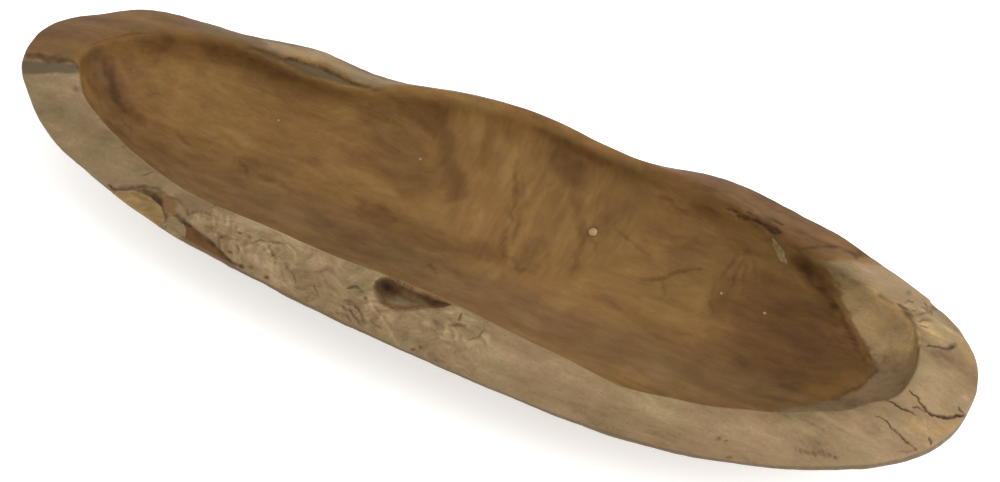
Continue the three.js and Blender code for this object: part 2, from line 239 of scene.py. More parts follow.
LINES = [
    *lines(
        "rim", "dark",
        left_end_line=(0.85, 4.2, 0.4, (20, 55), (40, 56.5), (60, 59), (78, 62), (84, 68)),
        left_inner_line=(0.5, 1.8, 0.2, (84, 48), (106, 40), (130, 33.5), (154, 33)),
        left_check=(0.5, 1.2, 0.4, (89, 121.5), (99, 118.5), (106, 124), (115, 133)),
        left_fork=(0.5, 1.2, 0.3, (139, 176), (148, 174), (157, 169)),
        patch_corner=(0.9, 2.0, 0.8, (107, 184), (113, 189), (121, 190)),
        patch_seam=(0.85, 3.4, 0.8, (114, 190), (130, 187.5), (141, 186), (151, 188), (161, 192),
                    (169, 196)),
        patch_inner_seam=(1.05, 4.2, 1.0, (137, 191), (146, 195.5), (155, 200.5), (160, 206),
                          (163.5, 214), (163.5, 223)),
        block_seam=(0.85, 3.0, 0.9, (165, 194), (174, 197), (180, 203.5), (185, 210), (187, 214)),
        # Painted shade in the crease under the grey wood, over a real groove
        grey_crease=(0.55, 2.2, 0.6, (184, 214), (196, 211), (208, 208), (217, 205)),
        seam_knot=(1.3, 3.2, 1.3, (172, 217.5), (180, 219.5), (187, 222.5), (193, 227)),
        strip_seam=(0.85, 2.5, 1.0, (188, 224), (202, 235), (216, 247), (230, 261), (240, 267)),
        burl_stroke_1=(0.6, 1.4, 0.5, (232.6, 242), (237, 246), (241, 251)),
        burl_stroke_2=(0.6, 1.4, 0.5, (250, 243.5), (261, 239.7), (274, 242.5), (288, 243)),
        burl_stroke_3=(0.55, 1.4, 0.5, (267.8, 245), (271, 252.7), (276, 260)),
        burl_stroke_4=(0.6, 1.4, 0.5, (284.7, 265.7), (292.3, 274), (296, 282.6)),
        burl_stroke_5=(0.55, 1.4, 0.5, (312, 285), (316, 291), (319, 297)),
        hollow_arc=(0.85, 1.6, 0.7, (346, 288.5), (354, 286), (359, 288), (362, 293)),
        swirl_inner=(0.65, 1.7, 0.7, (344, 299.5), (352, 302), (359, 310), (364, 324)),
        swirl_middle=(0.6, 1.8, 0.7, (341, 305), (350, 311), (356, 318), (362, 327)),
        swirl_outer=(0.5, 1.6, 0.5, (334, 312), (344, 314), (352, 321)),
        swirl_dash=(0.55, 1.6, 0.5, (369, 320), (375, 325), (382, 329)),
        bulge_line=(0.8, 1.3, 0.6, (461.5, 313), (459.5, 317), (458, 320.5)),
        # Painted shade under the bulge
        bulge_foot=(0.6, 2.2, 0.4, (447, 326), (456, 325), (466, 325.5)),
        bulge_ring=(0.5, 1.8, 0.4, (482, 322), (484, 328), (478, 337), (466, 340)),
        near_streak_1=(0.3, 2.0, 0, (430, 338), (446, 343), (468, 352)),
        near_streak_2=(0.25, 2.0, 0, (586, 399), (612, 407), (672, 416), (705, 421)),
        rim_dash=(0.4, 1.4, 0, (693, 427), (699, 429), (706, 431)),
        end_crack_long=(1.15, 0.9, 2.0, (908.5, 390), (912, 394.5), (917, 396), (920, 403), (926, 409),
                        (932, 415), (942, 416), (950, 417.5)),
        end_crack_wide=(1.25, 1.5, 1.8, (930, 414), (938, 416.2), (947, 417.4), (957, 415.6),
                        (964, 416), (971, 412), (979, 408)),
        end_crack_spur=(0.85, 1.1, 1.2, (958, 406), (960, 410), (965, 414)),
        end_crack_upper=(0.95, 0.9, 1.3, (886, 401), (894.4, 403.5), (901, 408.5), (908, 410.3),
                         (916, 415.5)),
        end_crack_link=(0.8, 1.1, 0.8, (911, 407.3), (917, 406.5), (922, 409.5), (928, 412)),
        end_crack_low=(0.95, 0.9, 1.3, (874, 415.4), (885.5, 420.5), (890, 427), (898, 433),
                       (905, 441), (917, 450.5)),
        end_crack_foot=(0.5, 1.3, 0.8, (916, 449), (908, 451), (898, 451)),
        end_edge_notch=(0.8, 1.3, 1.6, (929, 437), (931, 441), (931, 445)),
        end_knot_crack=(0.9, 1.2, 1.2, (925, 345), (936.5, 346), (946, 348.5), (956, 346)),
        outline_nick=(0.25, 3.4, 3.2, (930, 306), (936, 305.5), (944, 305)),
        right_knot_top=(0.8, 1.8, 1.0, (900, 309), (906, 307.5), (911, 310), (917, 309.5)),
        right_knot_low=(0.75, 2.0, 0.9, (913, 318), (919, 320.5), (924, 318.5), (930, 319)),
        right_knot_dash=(0.65, 1.5, 0.6, (903.5, 302), (908, 301), (914, 302)),
        right_knot_crumb_1=(0.7, 1.3, 0.6, (895, 304), (899, 306), (904, 305)),
        right_knot_crumb_2=(0.75, 1.4, 0.7, (909, 314), (913, 315), (917, 314.5)),
        right_knot_crumb_3=(0.7, 1.2, 0.6, (921, 306), (926, 309), (929, 313)),
        right_knot_crumb_4=(0.6, 1.3, 0.5, (919, 325), (926, 327), (932, 325)),
        right_knot_hook=(0.65, 1.4, 0.7, (924, 302), (929, 307), (932, 315)),
        right_knot_mid=(0.75, 1.6, 0.8, (914, 312), (920, 313.5), (927, 312)),
        right_seam_streak=(0.45, 2.4, 0.3, (878, 295), (889, 303), (902, 309)),
        ledge_gap=(0.8, 1.6, 1.0, (282, 56), (291, 57.5), (300, 60)),
        ledge_under=(0.55, 2.0, 0.6, (298, 60), (316, 63.5), (334, 72), (358, 84)),
    ),
    *lines("rim", "red", swirl_long=(0.7, 2.4, 0.5, (372, 302), (378, 313), (389, 324), (396, 341))),
    *lines(
        "rim", "light",
        swirl_light=(0.7, 1.8, -0.6, (367, 296), (372, 308), (383, 320), (393, 335)),
        swirl_light_low=(0.6, 1.8, -0.5, (362, 310), (368, 320), (380, 329)),
        # Painted light on the bulge's top
        bulge_light=(0.7, 2.4, -0.4, (446, 313), (458, 311), (470, 313)),
        end_light_streak_1=(0.6, 2.4, -0.3, (930, 318), (945, 327), (966, 341)),
        end_light_streak_2=(0.6, 2.2, -0.3, (919, 327), (930, 331), (944, 340)),
        end_inner_edge=(0.8, 1.8, -0.4, (916, 328), (915.5, 338), (921, 352), (916.5, 364),
                        (909, 377)),
    ),
    *lines(
        "rim", "heart",
        hollow_lip=(1.0, 3.6, 0, (386, 275.5), (398, 278.5), (414, 286), (430, 293.5), (446, 300.5),
                    (458, 306)),
    ),
    *lines(
        "rim", "shade",
        hollow_lip_shade=(0.6, 3.0, 0, (390, 277.5), (402, 281), (414, 287)),
        far_brown_streak=(0.55, 3.0, 0, (680, 181), (722, 191), (752, 203), (782, 220)),
        far_top_streak=(0.6, 2.6, 0, (648, 160), (690, 167), (730, 181), (770, 203), (800, 222)),
        far_low_streak=(0.6, 2.2, 0, (784, 228), (806, 234), (830, 246), (858, 258)),
    ),
    *lines(
        "hollow", "dark",
        # Painted shade on the open knot's steep upper side, over its dark wood
        hollow_band=(0.85, 4.4, 0, (390, 283), (404, 288), (420, 295), (437, 302), (451, 305)),
    ),
    *lines(
        "hollow", "light",
        hollow_fibre=(0.35, 0.9, 0, (398, 283), (411, 288.5), (426, 295)),
        hollow_floor=(0.75, 4.4, 0, (394, 301), (414, 303.5), (428, 304.5)),
    ),
    *lines("top", "grey", putty_halo=(0.9, 9.0, 0, (771, 234), (779, 250), (789, 266))),
    *lines(
        "top", "light",
        putty_glow=(1.0, 9.5, 0, (773, 238), (779, 250), (788, 264)),
        putty_speck=(0.5, 3.5, 0, (785, 243), (792, 248), (797, 253)),
        # Painted light on the right end's crest, which the lamp leaves in shade
        crest_light=(0.9, 6.0, 0, (874, 295), (895, 309), (906, 322), (912, 338), (914, 356)),
    ),
    *lines(
        "top", "dark",
        far_seam_tip=(0.85, 1.8, 0.8, (726, 208), (733, 211), (739, 213)),
        far_seam_left=(1.2, 2.6, 1.4, (736, 214), (742, 218), (749, 219)),
        far_seam_top=(0.9, 1.5, 0.9, (745, 212), (752, 214), (758, 217)),
        far_seam_middle=(1.1, 2.0, 1.2, (752, 220), (758, 221.5), (763, 225)),
        far_seam_knot=(1.2, 3.2, 1.4, (764, 225), (772, 227), (780, 227)),
        far_seam_low=(1.0, 2.2, 1.0, (767, 231), (774, 233), (781, 232)),
        far_seam_thin=(0.7, 1.3, 0.6, (764, 217), (774, 220), (784, 226)),
        far_dark_streak=(0.75, 3.2, 0.5, (797, 245), (816, 247.5), (842, 250), (872, 259)),
        sap_streak=(0.68, 4.4, 0.2, (798, 264), (815, 281), (831, 302), (847, 330), (861, 353),
                    (869, 365)),
    ),
    *lines("rim", "grey", far_left_band=(0.55, 5.0, 0, (185, 22), (215, 31), (238, 39), (262, 46))),
    *lines(
        "wall", "shade",
        left_floor_line=(0.6, 2.2, 0, (173, 130), (184, 142), (192, 148)),
        left_cross_line=(0.6, 2.0, 0, (240, 156), (243, 168), (249, 181)),
        left_grain_line=(0.6, 2.4, 0, (256, 172), (268, 180), (291, 192), (312, 197)),
        middle_grain_line=(0.45, 2.6, 0, (345, 184), (413, 188), (473, 191)),
        pool_curl=(0.85, 1.1, 0.2, (421, 273), (424, 267), (430, 265), (435, 271), (437, 276)),
        upright_line=(0.8, 2.4, 0, (515, 163), (517, 185), (516, 204), (508, 224)),
        upright_line_low=(0.85, 2.8, 0, (508, 222), (504, 240), (503, 262)),
        upright_side=(0.6, 2.0, 0, (524, 172), (524, 200), (518, 226), (514, 252)),
        panel_side=(0.6, 3.0, 0, (572, 190), (578, 212), (582, 240), (578, 262)),
        upright_foot=(0.65, 1.9, 0, (506, 256), (520, 268), (537, 275)),
        plug_line=(0.5, 2.4, 0, (572, 185), (581, 200), (584, 224), (588, 236), (597, 254)),
        plug_shade=(0.8, 1.0, 0, (585.5, 231), (587.5, 236), (592, 238)),
        line_past_plug=(0.6, 1.3, 0, (613, 227), (629, 240), (652, 257)),
        fork=(0.8, 1.5, 0.2, (633, 277), (650, 280), (662, 279), (676, 272), (702, 269)),
        fork_spur=(0.7, 1.4, 0, (661, 279), (664, 287), (665, 296)),
        right_dash=(0.65, 2.0, 0, (652, 194), (668, 200), (690, 216)),
        ray_long=(0.95, 1.6, 0.2, (744, 260), (735, 276), (726, 292), (719, 302)),
        ray_middle=(0.85, 1.6, 0, (748, 263), (741, 284), (733, 310)),
        ray_left=(0.8, 1.5, 0, (738, 254), (727, 270), (717, 284)),
        ray_right=(0.7, 1.8, 0, (757, 262), (757, 278), (750, 292)),
        ray_short=(0.8, 2.0, 0, (716, 280), (711, 296), (712, 312), (720, 326)),
        under_far_left_rim=(0.6, 6, 0, (187, 40), (230, 56), (270, 70), (310, 84), (350, 94)),
        far_middle_rim=(0.85, 4.5, 0, (533, 126), (556, 138), (584, 149), (612, 163)),
        far_middle=(0.6, 9, 0, (560, 148), (568, 166), (578, 186)),
        # Painted shade inside the near-left crest
        near_left_shade=(0.7, 8, 0, (90, 104), (112, 134), (142, 162), (178, 192)),
        left_stain=(1.0, 6.4, 0, (102, 46), (106, 62), (109, 80), (116, 97), (126, 110), (142, 126)),
        left_stain_core=(1.2, 3.2, 0, (103, 60), (106, 74), (110, 86), (116, 96)),
        sap_edge=(0.75, 1.6, 0.2, (824, 264), (836, 288), (848, 314), (861, 340), (872, 358),
                  (873, 372), (858, 388), (830, 400)),
        sap_band=(0.95, 6, 0, (800, 262), (815, 284), (828, 304), (846, 336), (864, 366)),
        sap_band_low=(0.25, 5, 0, (864, 362), (862, 382), (842, 394), (806, 402)),
    ),
    *lines(
        "wall", "light",
        far_dash_1=(0.5, 0.9, 0, (462, 99), (464, 105), (468, 112)),
        far_dash_2=(0.5, 0.9, 0, (468, 100), (471, 107), (476, 115)),
        putty_light=(0.45, 1.6, 0, (788, 264), (799, 278), (808, 288)),
    ),
    *lines(
        "wall", "dark",
        left_stain_deep=(0.5, 4.0, 0, (103, 56), (107, 70), (110, 84), (116, 97), (130, 113)),
    ),
    # Painted light along the top of the sapwood wall at the right end
    *lines(
        "wall", "bright",
        sap_bright_edge=(0.45, 5.0, 0, (862, 294), (884, 311), (900, 331), (909, 355)),
    ),
    *lines("wall", "gold", sap_gold_band=(0.6, 4.5, 0, (858, 366), (848, 378), (830, 387), (802, 393))),
    # Painted light over the right end's crest and the wall under it
    *lines(
        "top", "bright",
        crest_bright=(1.0, 6.0, 0, (860, 286), (879, 298), (895, 309), (906, 322), (912, 338),
                      (914, 356)),
    ),
]
OVALS = [
    *ovals(
        "wall", "shade",
        left_floor=(0.35, (150, 150), (36, 18), 42),
        left_stain_low=(1.1, (117, 98), (24, 10), 54),
        left_spot=(0.35, (314, 160), (10, 6), 15),
        left_knot=(0.35, (259, 177), (6, 5), 0),
        left_blotch=(0.4, (265, 74), (16, 6), 15),
        pool_left=(0.35, (330, 213), (11, 6), 60),
        upright_spot=(0.9, (503, 255), (9, 5), 90),
        far_right_corner=(0.55, (590, 152), (18, 7), 30),
        middle_shade=(0.45, (405, 168), (90, 30), 14),
        upright_shade=(0.35, (476, 160), (28, 26), 0),
        right_patch=(0.45, (664, 199), (16, 6), 15),
        right_patch_low=(0.55, (706, 213), (22, 8), 22),
        right_brown=(0.5, (738, 243), (28, 14), 30),
        right_knot=(0.9, (749, 253), (9, 4.5), 0),
        right_speckles=(0.75, (722, 300), (28, 15), 100),
        sap_low_shade=(0.3, (898, 360), (18, 15), 0),
    ),
    *ovals("wall", "dark", left_stain_heart=(0.45, (113, 90), (17, 7), 58)),
    *ovals(
        "wall", "red",
        right_floor=(0.42, (735, 350), (130, 40), 14),
        right_red=(0.9, (800, 258), (8, 8), 40),
        middle_red=(0.6, (570, 168), (24, 16), 60),
    ),
    # Painted light on the steep far wall at the right, over the left of the interior and over the sapwood
    # wall at the right end; the oval at the left end lightens the wood
    *ovals(
        "wall", "light",
        right_patch_light=(0.35, (668, 200), (36, 18), 22),
        left_glow=(0.65, (215, 106), (60, 34), 22),
        far_glow=(0.35, (325, 134), (60, 28), 15),
        left_end_glow=(0.3, (150, 70), (30, 20), 0),
        sap_glow=(1.6, (874, 316), (56, 30), 62),
        sap_glow_low=(0.5, (884, 372), (34, 28), 0),
    ),
    *ovals(
        "wall", "gold",
        upright_strip=(0.2, (487, 170), (30, 10), 82),
        middle_gold=(0.15, (645, 222), (48, 30), 25),
    ),
    # Painted light over the sapwood wall at the right end
    *ovals(
        "wall", "bright",
        sap_bright_end=(0.55, (903, 338), (20, 34), -8),
        sap_bright_top=(0.5, (856, 292), (44, 22), 40),
        sap_bright_middle=(0.48, (874, 322), (50, 26), 62),
    ),
    *ovals(
        "rim", "dark",
        burl_pit_1=(0.8, (222, 237), (2.4, 2), 0),
        burl_pit_2=(0.85, (230.4, 251.8), (2.8, 1.7), 20),
        burl_pit_3=(1.0, (241.5, 266.6), (3.8, 2.3), 25),
        burl_pit_4=(0.75, (239.5, 233.8), (3.6, 1.5), 35),
        burl_pit_5=(0.6, (249.5, 237), (2, 1.5), 20),
        burl_pit_6=(0.9, (266.3, 277.6), (2.8, 2), 20),
        burl_pit_7=(0.6, (251, 267.3), (3, 2), 10),
        low_cluster_1=(0.85, (413, 349.5), (3, 2), 0),
        low_cluster_2=(0.8, (420.5, 347), (2.6, 1.8), -20),
        hollow_pit=(0.95, (365.7, 297.7), (2, 2), 0),
        left_pit=(0.55, (76, 89), (4, 3), 20),
        inner_pit=(0.6, (124, 147), (3, 1.8), 20),
        rim_speck=(0.45, (617, 413), (3, 1.8), 20),
        rim_knot_1=(0.75, (719, 438.5), (4, 2), -20),
        rim_knot_2=(0.65, (726, 440.5), (3, 1.6), 30),
        edge_knot=(0.75, (729, 457), (3, 1.8), 10),
        end_knot=(0.95, (952, 347), (6, 3.4), -30),
        right_speck=(0.5, (955, 330), (3, 2), 45),
        right_spot=(0.7, (908.5, 293), (3.6, 2.6), 0),
        far_purple=(0.35, (706, 186), (14, 6), 15),
        edge_strip_dark=(0.42, (197, 235), (10, 6), 38),
        tear_smear=(0.5, (812, 452), (24, 4.5), 8),
    ),
    # Painted shade in the deep upper side of the open knot, over its dark wood
    *ovals("hollow", "dark", hollow_dark=(1.06, (386, 286.5), (17, 12), 22)),
    *ovals(
        "hollow", "shade",
        hollow_tip=(1.7, (441, 304.5), (12, 3.4), 8),
        hollow_foot=(0.85, (383, 301), (10, 6.5), 40),
    ),
    *ovals("hollow", "heart", hollow_tip_heart=(2.0, (441, 304.5), (14, 4), 8)),
    *ovals("hollow", "mauve", hollow_mauve=(1.2, (402, 302), (26, 6), 8)),
    *ovals(
        "rim", "light",
        right_lump_1=(0.8, (908, 305), (5, 1.8), 10),
        right_lump_2=(0.8, (922, 309.5), (5, 1.6), 15),
        right_lump_3=(0.7, (929, 325), (6, 2.4), 20),
        seam_lump_1=(0.7, (745, 210.5), (5, 2.6), 20),
        seam_lump_2=(0.7, (757, 212), (4.5, 3), -20),
        end_pale_spot=(0.7, (966, 397), (5, 4), 20),
        end_rim_glow=(0.35, (935, 385), (26, 34), 0),
        right_rim_glow=(0.5, (890, 284), (46, 12), 32),
        near_right_light=(0.35, (830, 428), (80, 16), 3),
        near_middle_light=(0.28, (650, 414), (60, 13), 11),
        burl_pale_1=(0.5, (262, 262), (12, 7), 40),
        burl_pale_2=(0.45, (212, 222), (14, 6), 30),
        burl_pale_3=(0.4, (456, 313), (14, 5), 15),
    ),
    *ovals(
        "rim", "red",
        hollow_spot=(0.7, (427, 329), (10, 4), 15),
        right_cluster=(0.05, (917, 311), (21, 9), 18),
        end_brown=(0.72, (950, 358), (20, 9), 25),
        end_purple=(0.55, (921, 413), (12, 6), 20),
    ),
    *ovals(
        "rim", "gold",
        end_edge_gold=(0.6, (967, 352), (6, 18), -14),
        end_orange=(0.8, (945, 427), (18, 6), -15),
        end_orange_low=(0.5, (918, 426), (16, 8), 20),
        right_orange=(0.45, (836, 240), (18, 6), 25),
    ),
    # Painted light on the top of the right end
    *ovals("rim", "bright", end_top_glow=(0.45, (931, 329), (26, 10), 27)),
    *ovals("top", "dark", seam_crumbs=(0.45, (757, 219), (28, 9), 26)),
    *ovals("top", "shade", seam_shade=(0.5, (774, 229), (13, 7), 25)),
    *ovals(
        "rim", "grey",
        far_grey=(0.35, (760, 208), (80, 14), 26),
        near_green=(0.25, (446, 366), (40, 10), 22),
        burl_green=(0.25, (262, 256), (26, 10), 35),
        hollow_green=(0.4, (356, 300), (14, 18), 30),
        low_green=(0.3, (412, 340), (24, 8), 20),
    ),
    *ovals(
        "rim", "shade",
        burl_brown_1=(0.35, (244, 262), (16, 6), 35),
        burl_brown_2=(0.3, (300, 272), (24, 6), 30),
        burl_brown_3=(0.4, (352, 318), (16, 7), 30),
        burl_brown_4=(0.3, (462, 326), (18, 7), 20),
        right_cluster_core=(0.2, (921, 313), (12, 5), 15),
    ),
]

# Outlines that more than one area has
SEAM_WEDGE = [(140, 188), (160, 192), (171, 196), (178, 204), (174, 216), (166, 212), (160, 204),
              (148, 195)]
EDGE_STRIP = [(184, 224), (192, 227), (205, 238), (220, 251), (236, 266), (236, 272), (205, 258),
              (180, 240)]
LEDGE_STRIP = [(243, 47), (268, 51), (289, 58), (306, 61), (326, 67), (358, 84), (380, 91), (358, 87),
               (326, 79), (306, 75), (279, 61)]
LEFT_LEDGE = [(78, 50), (94, 42), (103, 48), (105, 70), (111, 95), (128, 120), (112, 120), (94, 98),
              (82, 74)]
NEAR_FLOOR = [(92, 90), (116, 108), (150, 138), (210, 164), (300, 196), (400, 240), (500, 282),
              (600, 322), (700, 356), (790, 380), (800, 420), (700, 405), (600, 370), (500, 330),
              (300, 245), (150, 180), (92, 110)]
AREAS = [
    *areas(
        "rim", "grey",
        left_grey=(1.2, 1.5, 0, (15, 60), (56, 62.5), (79, 65), (83, 73.5), (50, 73), (30, 74.5),
                   (15, 72)),
        seam_grey=(0.5, 1.5, 0, (174, 193), (196, 196), (217, 204), (198, 209), (188, 211),
                   (181, 203)),
        ledge_strip=(0.95, 1.5, -2.0, *LEDGE_STRIP),
    ),
    *areas(
        "rim", "heart",
        seam_wedge=(0.7, 1.5, -0.5, *SEAM_WEDGE),
        edge_strip=(0.85, 1.5, -0.5, *EDGE_STRIP),
    ),
    *areas(
        "rim", "shade",
        seam_wedge_shade=(0.4, 2, 0, *SEAM_WEDGE),
        edge_strip_shade=(0.95, 2, 0, *EDGE_STRIP),
        ledge_strip_shade=(0.85, 1.5, 0, *LEDGE_STRIP),
        left_far_rim=(0.3, 5, 0, (8, 8), (262, 8), (262, 52), (150, 42), (92, 62), (8, 50)),
    ),
    *areas(
        "rim", "red",
        far_right_brown=(0.78, 4, 0, (640, 158), (690, 166), (730, 174), (800, 208), (876, 258),
                         (824, 258), (790, 250), (760, 235), (700, 205), (640, 180)),
    ),
    *areas(
        "rim", "pale",
        ledge_wood=(1.0, 1.2, 0.4, (262, 36), (322, 48), (332, 56), (350, 66), (372, 76), (396, 85),
                    (380, 88), (358, 82), (340, 71), (326, 63), (306, 59), (289, 56.5), (266, 49)),
    ),
    *areas(
        "rim", "light",
        ledge_light=(0.5, 2, 0, (266, 42), (322, 51), (350, 68), (385, 86), (340, 70), (306, 57),
                     (270, 48)),
    ),
    *areas(
        "rim", "gold",
        ledge_gold=(0.5, 2, 0, (276, 48), (300, 52), (312, 58), (296, 58), (284, 55)),
    ),
    *areas(
        "wall", "shade",
        # Partly painted shade from the right end, partly darker heartwood
        right_shade=(0.6, 22, 0, (748, 270), (800, 276), (834, 304), (856, 345), (858, 372),
                     (836, 388), (790, 392), (740, 366), (722, 330), (728, 292)),
        left_ledge_shade=(0.5, 5, 0, *LEFT_LEDGE),
        # Painted shade from the near rim on the floor
        near_floor_shade=(0.34, 22, 0, *NEAR_FLOOR),
        far_corner=(0.62, 5, 0, (384, 92), (412, 96), (440, 100), (448, 112), (445, 134), (434, 138),
                    (420, 124), (404, 112)),
        descending=(0.6, 5, 0, (438, 130), (453, 133), (459, 160), (468, 184), (472, 198), (446, 205),
                    (440, 180)),
        pool=(0.5, 6, 0, (357, 204), (384, 207), (424, 224), (474, 240), (504, 250), (500, 262),
              (460, 257), (416, 248), (380, 238), (360, 224)),
        pool_start=(0.75, 4, 0, (358, 206), (384, 208), (402, 217), (398, 226), (372, 224)),
    ),
    *areas(
        "wall", "mauve",
        left_ledge_mauve=(0.35, 5, 0, *LEFT_LEDGE),
        near_floor_mauve=(1.0, 24, 0, *NEAR_FLOOR),
    ),
    *areas(
        "wall", "red",
        descending_end=(0.3, 5, 0, (447, 166), (462, 164), (469, 190), (472, 200), (448, 206)),
    ),
    *areas(
        "wall", "light",
        middle_panel=(0.1, 5, 0, (521, 172), (556, 160), (578, 190), (584, 235), (574, 262),
                      (530, 268), (519, 240)),
    ),
]

# Borders of the heartwood on the rim and of the sapwood on the wall, and zones of figure, with the
# distances in pixels over which each begins
FAR_HEARTWOOD = [(0, 55), (24, 57.5), (56, 61), (78, 64), (84, 69), (300, 120), (600, 220), (824, 261),
                 (853, 261.5), (876, 265), (900, 268), (900, 0), (0, 0)]
RIGHT_SAPWOOD = [(824, 262), (836, 290), (845, 310), (859, 337), (871, 355), (874, 365), (871, 378),
                 (857, 390), (832, 400), (804, 407), (775, 411), (775, 440), (960, 440), (960, 250),
                 (824, 250)]
CROSS_FIGURE = [(425, 85), (540, 105), (640, 160), (640, 250), (560, 285), (480, 285), (440, 210)]
BURL = [(187, 205), (216, 204), (285, 236), (376, 270), (466, 311), (500, 328), (470, 385), (330, 325),
        (240, 280), (187, 222)]
SAP_BORDER = (-1.5, 1.5)
CROSS_BORDER = (-12, 12)
BURL_BORDER = (-6, 8)

# Folds of the burl, in the ovals that have them
BURL_FOLDS = ovals(
    "rim", "folds",
    left=(1.0, (222, 234), (40, 20), 38),
    middle=(0.9, (272, 262), (38, 16), 28),
    swirl=(0.7, (350, 312), (24, 14), 40),
    right=(0.7, (446, 330), (44, 13), 26),
)
FOLD_LENGTH = 17.0
FOLD_WIDTH = 4.2
FOLD_LEAN = 38.0
FOLD_HEIGHT = 0.5
FOLD_BEND = 4.0
FOLD_LEAN_NOISE = (45, 64)
FOLD_BEND_NOISE = (18, (65, 66))
FOLD_NOISE = (1, 6)
FOLD_STEEPNESS = 3.4
FOLD_ZONE = (0.15, 0.7)
# Painted light on the ridges of the folds and painted shade in their troughs, and where each begins
FOLD_LIGHT = 0.5
FOLD_SHADE = 0.4
FOLD_CLEAR = (0.1, 0.9)

# The open knot: its upper and lower border, in pixels how fast it sinks from each, and its stain
HOLLOW_CREST = [(373.5, 291), (373.6, 286), (376, 281.4), (380.5, 278.4), (386, 277.5), (391.5, 278.3),
                (398, 281), (413, 289.5), (431, 296.5), (452, 304.5)]
HOLLOW_FOOT = [(452, 304.5), (437, 308), (417, 312.5), (403, 314), (388, 311), (377, 303), (373.5, 291)]
HOLLOW = HOLLOW_CREST + HOLLOW_FOOT
HOLLOW_DEPTH = 13.0
HOLLOW_BRIM = 1.5
HOLLOW_STEEP = (-0.5, 4.5)
HOLLOW_GENTLE = (-1.0, 20.0)
HOLLOW_TIP_LOSS = 0.35
HOLLOW_BORDER = (-1.2, 0.6)
HOLLOW_STAIN = (0, 4)
HOLLOW_HEART = 0.5
HOLLOW_SHADE = 0.3

# Short torn fibres on the near rim, side by side
TEAR_START = (794, 448)
TEAR_STEP = (5.6, 0.9)
TEAR_COUNT = 8
TEAR_LOOK = (0.65, 1.5, 0.5)
TEAR_STRAY = (1.2, 1.0)
TEAR_TALL = (4.5, 1.5)
TEAR_LEAN = 4.5


def signed_power(value, power):
    return np.sign(value) * np.abs(value) ** power


def smooth_step(low, high, value):
    share = np.clip((value - low) / (high - low), 0, 1)
    return share * share * (3 - 2 * share)


def unit(vectors):
    return vectors / np.linalg.norm(vectors, axis=-1, keepdims=True)


def outline_of(inset, tip_at, fullness):
    return {
        "left": LENGTH / 2 + BEAM_AT - inset["left"],
        "right": LENGTH / 2 - BEAM_AT - inset["right"],
        "near": WIDTH / 2 + tip_at - inset["near"],
        "far": WIDTH / 2 - tip_at - inset["far"],
        "tip_at": tip_at,
        "fullness": fullness,
    }


NO_INSET = {"left": 0.0, "right": 0.0, "near": 0.0, "far": 0.0}
RIM = outline_of(NO_INSET, RIM_TIP_AT, RIM_FULLNESS)
MOUTH = outline_of(RIM_WIDTH, MOUTH_TIP_AT, MOUTH_FULLNESS)
BASE = outline_of(BASE_INSET, MOUTH_TIP_AT, RIM_FULLNESS)
UP = np.array([0.0, 0.0, 1.0])


def cos_and_sin(angle):
    return np.cos(np.radians(angle)), np.sin(np.radians(angle))


def on_outline(outline, angle):
    cos, sin = cos_and_sin(angle)
    power = 2 / np.where(cos > 0, outline["fullness"][1], outline["fullness"][0])
    reach_x = np.where(cos > 0, outline["right"], outline["left"])
    reach_y = np.where(sin > 0, outline["far"], outline["near"])
    x = BEAM_AT + reach_x * signed_power(cos, power)
    y = outline["tip_at"] + reach_y * signed_power(sin, power)
    return np.stack([x, y], axis=-1)


def inner_angle(outline, angle):
    cos, sin = cos_and_sin(angle)
    ratio = np.where(cos > 0, outline["right"] / RIM["right"], outline["left"] / RIM["left"])
    full = np.where(cos > 0, outline["fullness"][1], outline["fullness"][0])
    return np.degrees(np.arctan2(sin * ratio ** (full / 2), cos))


def outward(outline, angle):
    nudge = 0.01
    along = on_outline(outline, angle + nudge) - on_outline(outline, angle - nudge)
    return unit(np.stack([along[:, 1], -along[:, 0]], axis=-1))


def swell(swells, angle, size):
    total = np.zeros_like(angle)
    for one in swells:
        away = (angle - one[0] + 180) % 360 - 180
        total += one[size] * np.exp(-((away / one[1]) ** 2))
    return total


def round_the_bowl(angle, sides):
    cos, sin = cos_and_sin(angle)
    ends = np.where(cos > 0, sides["right"], sides["left"])
    flanks = np.where(sin > 0, sides["far"], sides["near"])
    return cos * cos * ends + sin * sin * flanks


def rim_plan(angle):
    return on_outline(RIM, angle) + outward(RIM, angle) * swell(RIM_SWELLS, angle, 2)[:, None]


# The swells move the outline off centre by this much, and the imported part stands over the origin
ROUND = np.linspace(0, 360, 3601)
OFF_CENTRE = (rim_plan(ROUND)[:, 1].max() + rim_plan(ROUND)[:, 1].min()) / 2


def placed(plan, height):
    return np.column_stack([plan[:, 0], plan[:, 1] - OFF_CENTRE, height])


def rim_edge(angle):
    return placed(rim_plan(angle), RIM_HEIGHT + swell(RIM_SWELLS, angle, 3))


def mouth_edge(angle):
    inner = inner_angle(MOUTH, angle)
    plan = on_outline(MOUTH, inner)
    plan += outward(MOUTH, inner) * swell(MOUTH_SWELLS, inner, 2)[:, None]
    height = RIM_HEIGHT + round_the_bowl(angle, CREST_RISE)
    height += CREST_FOLLOW_SHARE * swell(RIM_SWELLS, angle, 3) + swell(MOUTH_SWELLS, inner, 3)
    return placed(plan, height)


def floor_line(angle):
    along = on_outline(MOUTH, inner_angle(MOUTH, angle))[:, 0] - BEAM_AT
    reach = np.where(along > 0, MOUTH["right"], MOUTH["left"])
    flat = reach - END_RUN
    share = np.minimum(np.abs(along) / reach, 1)
    x = BEAM_AT + np.sign(along) * flat * (1 - (1 - share) ** (reach / flat))
    plan = np.column_stack([x, np.full_like(x, MOUTH_TIP_AT)])
    return placed(plan, np.full_like(x, FLOOR_THICKNESS))


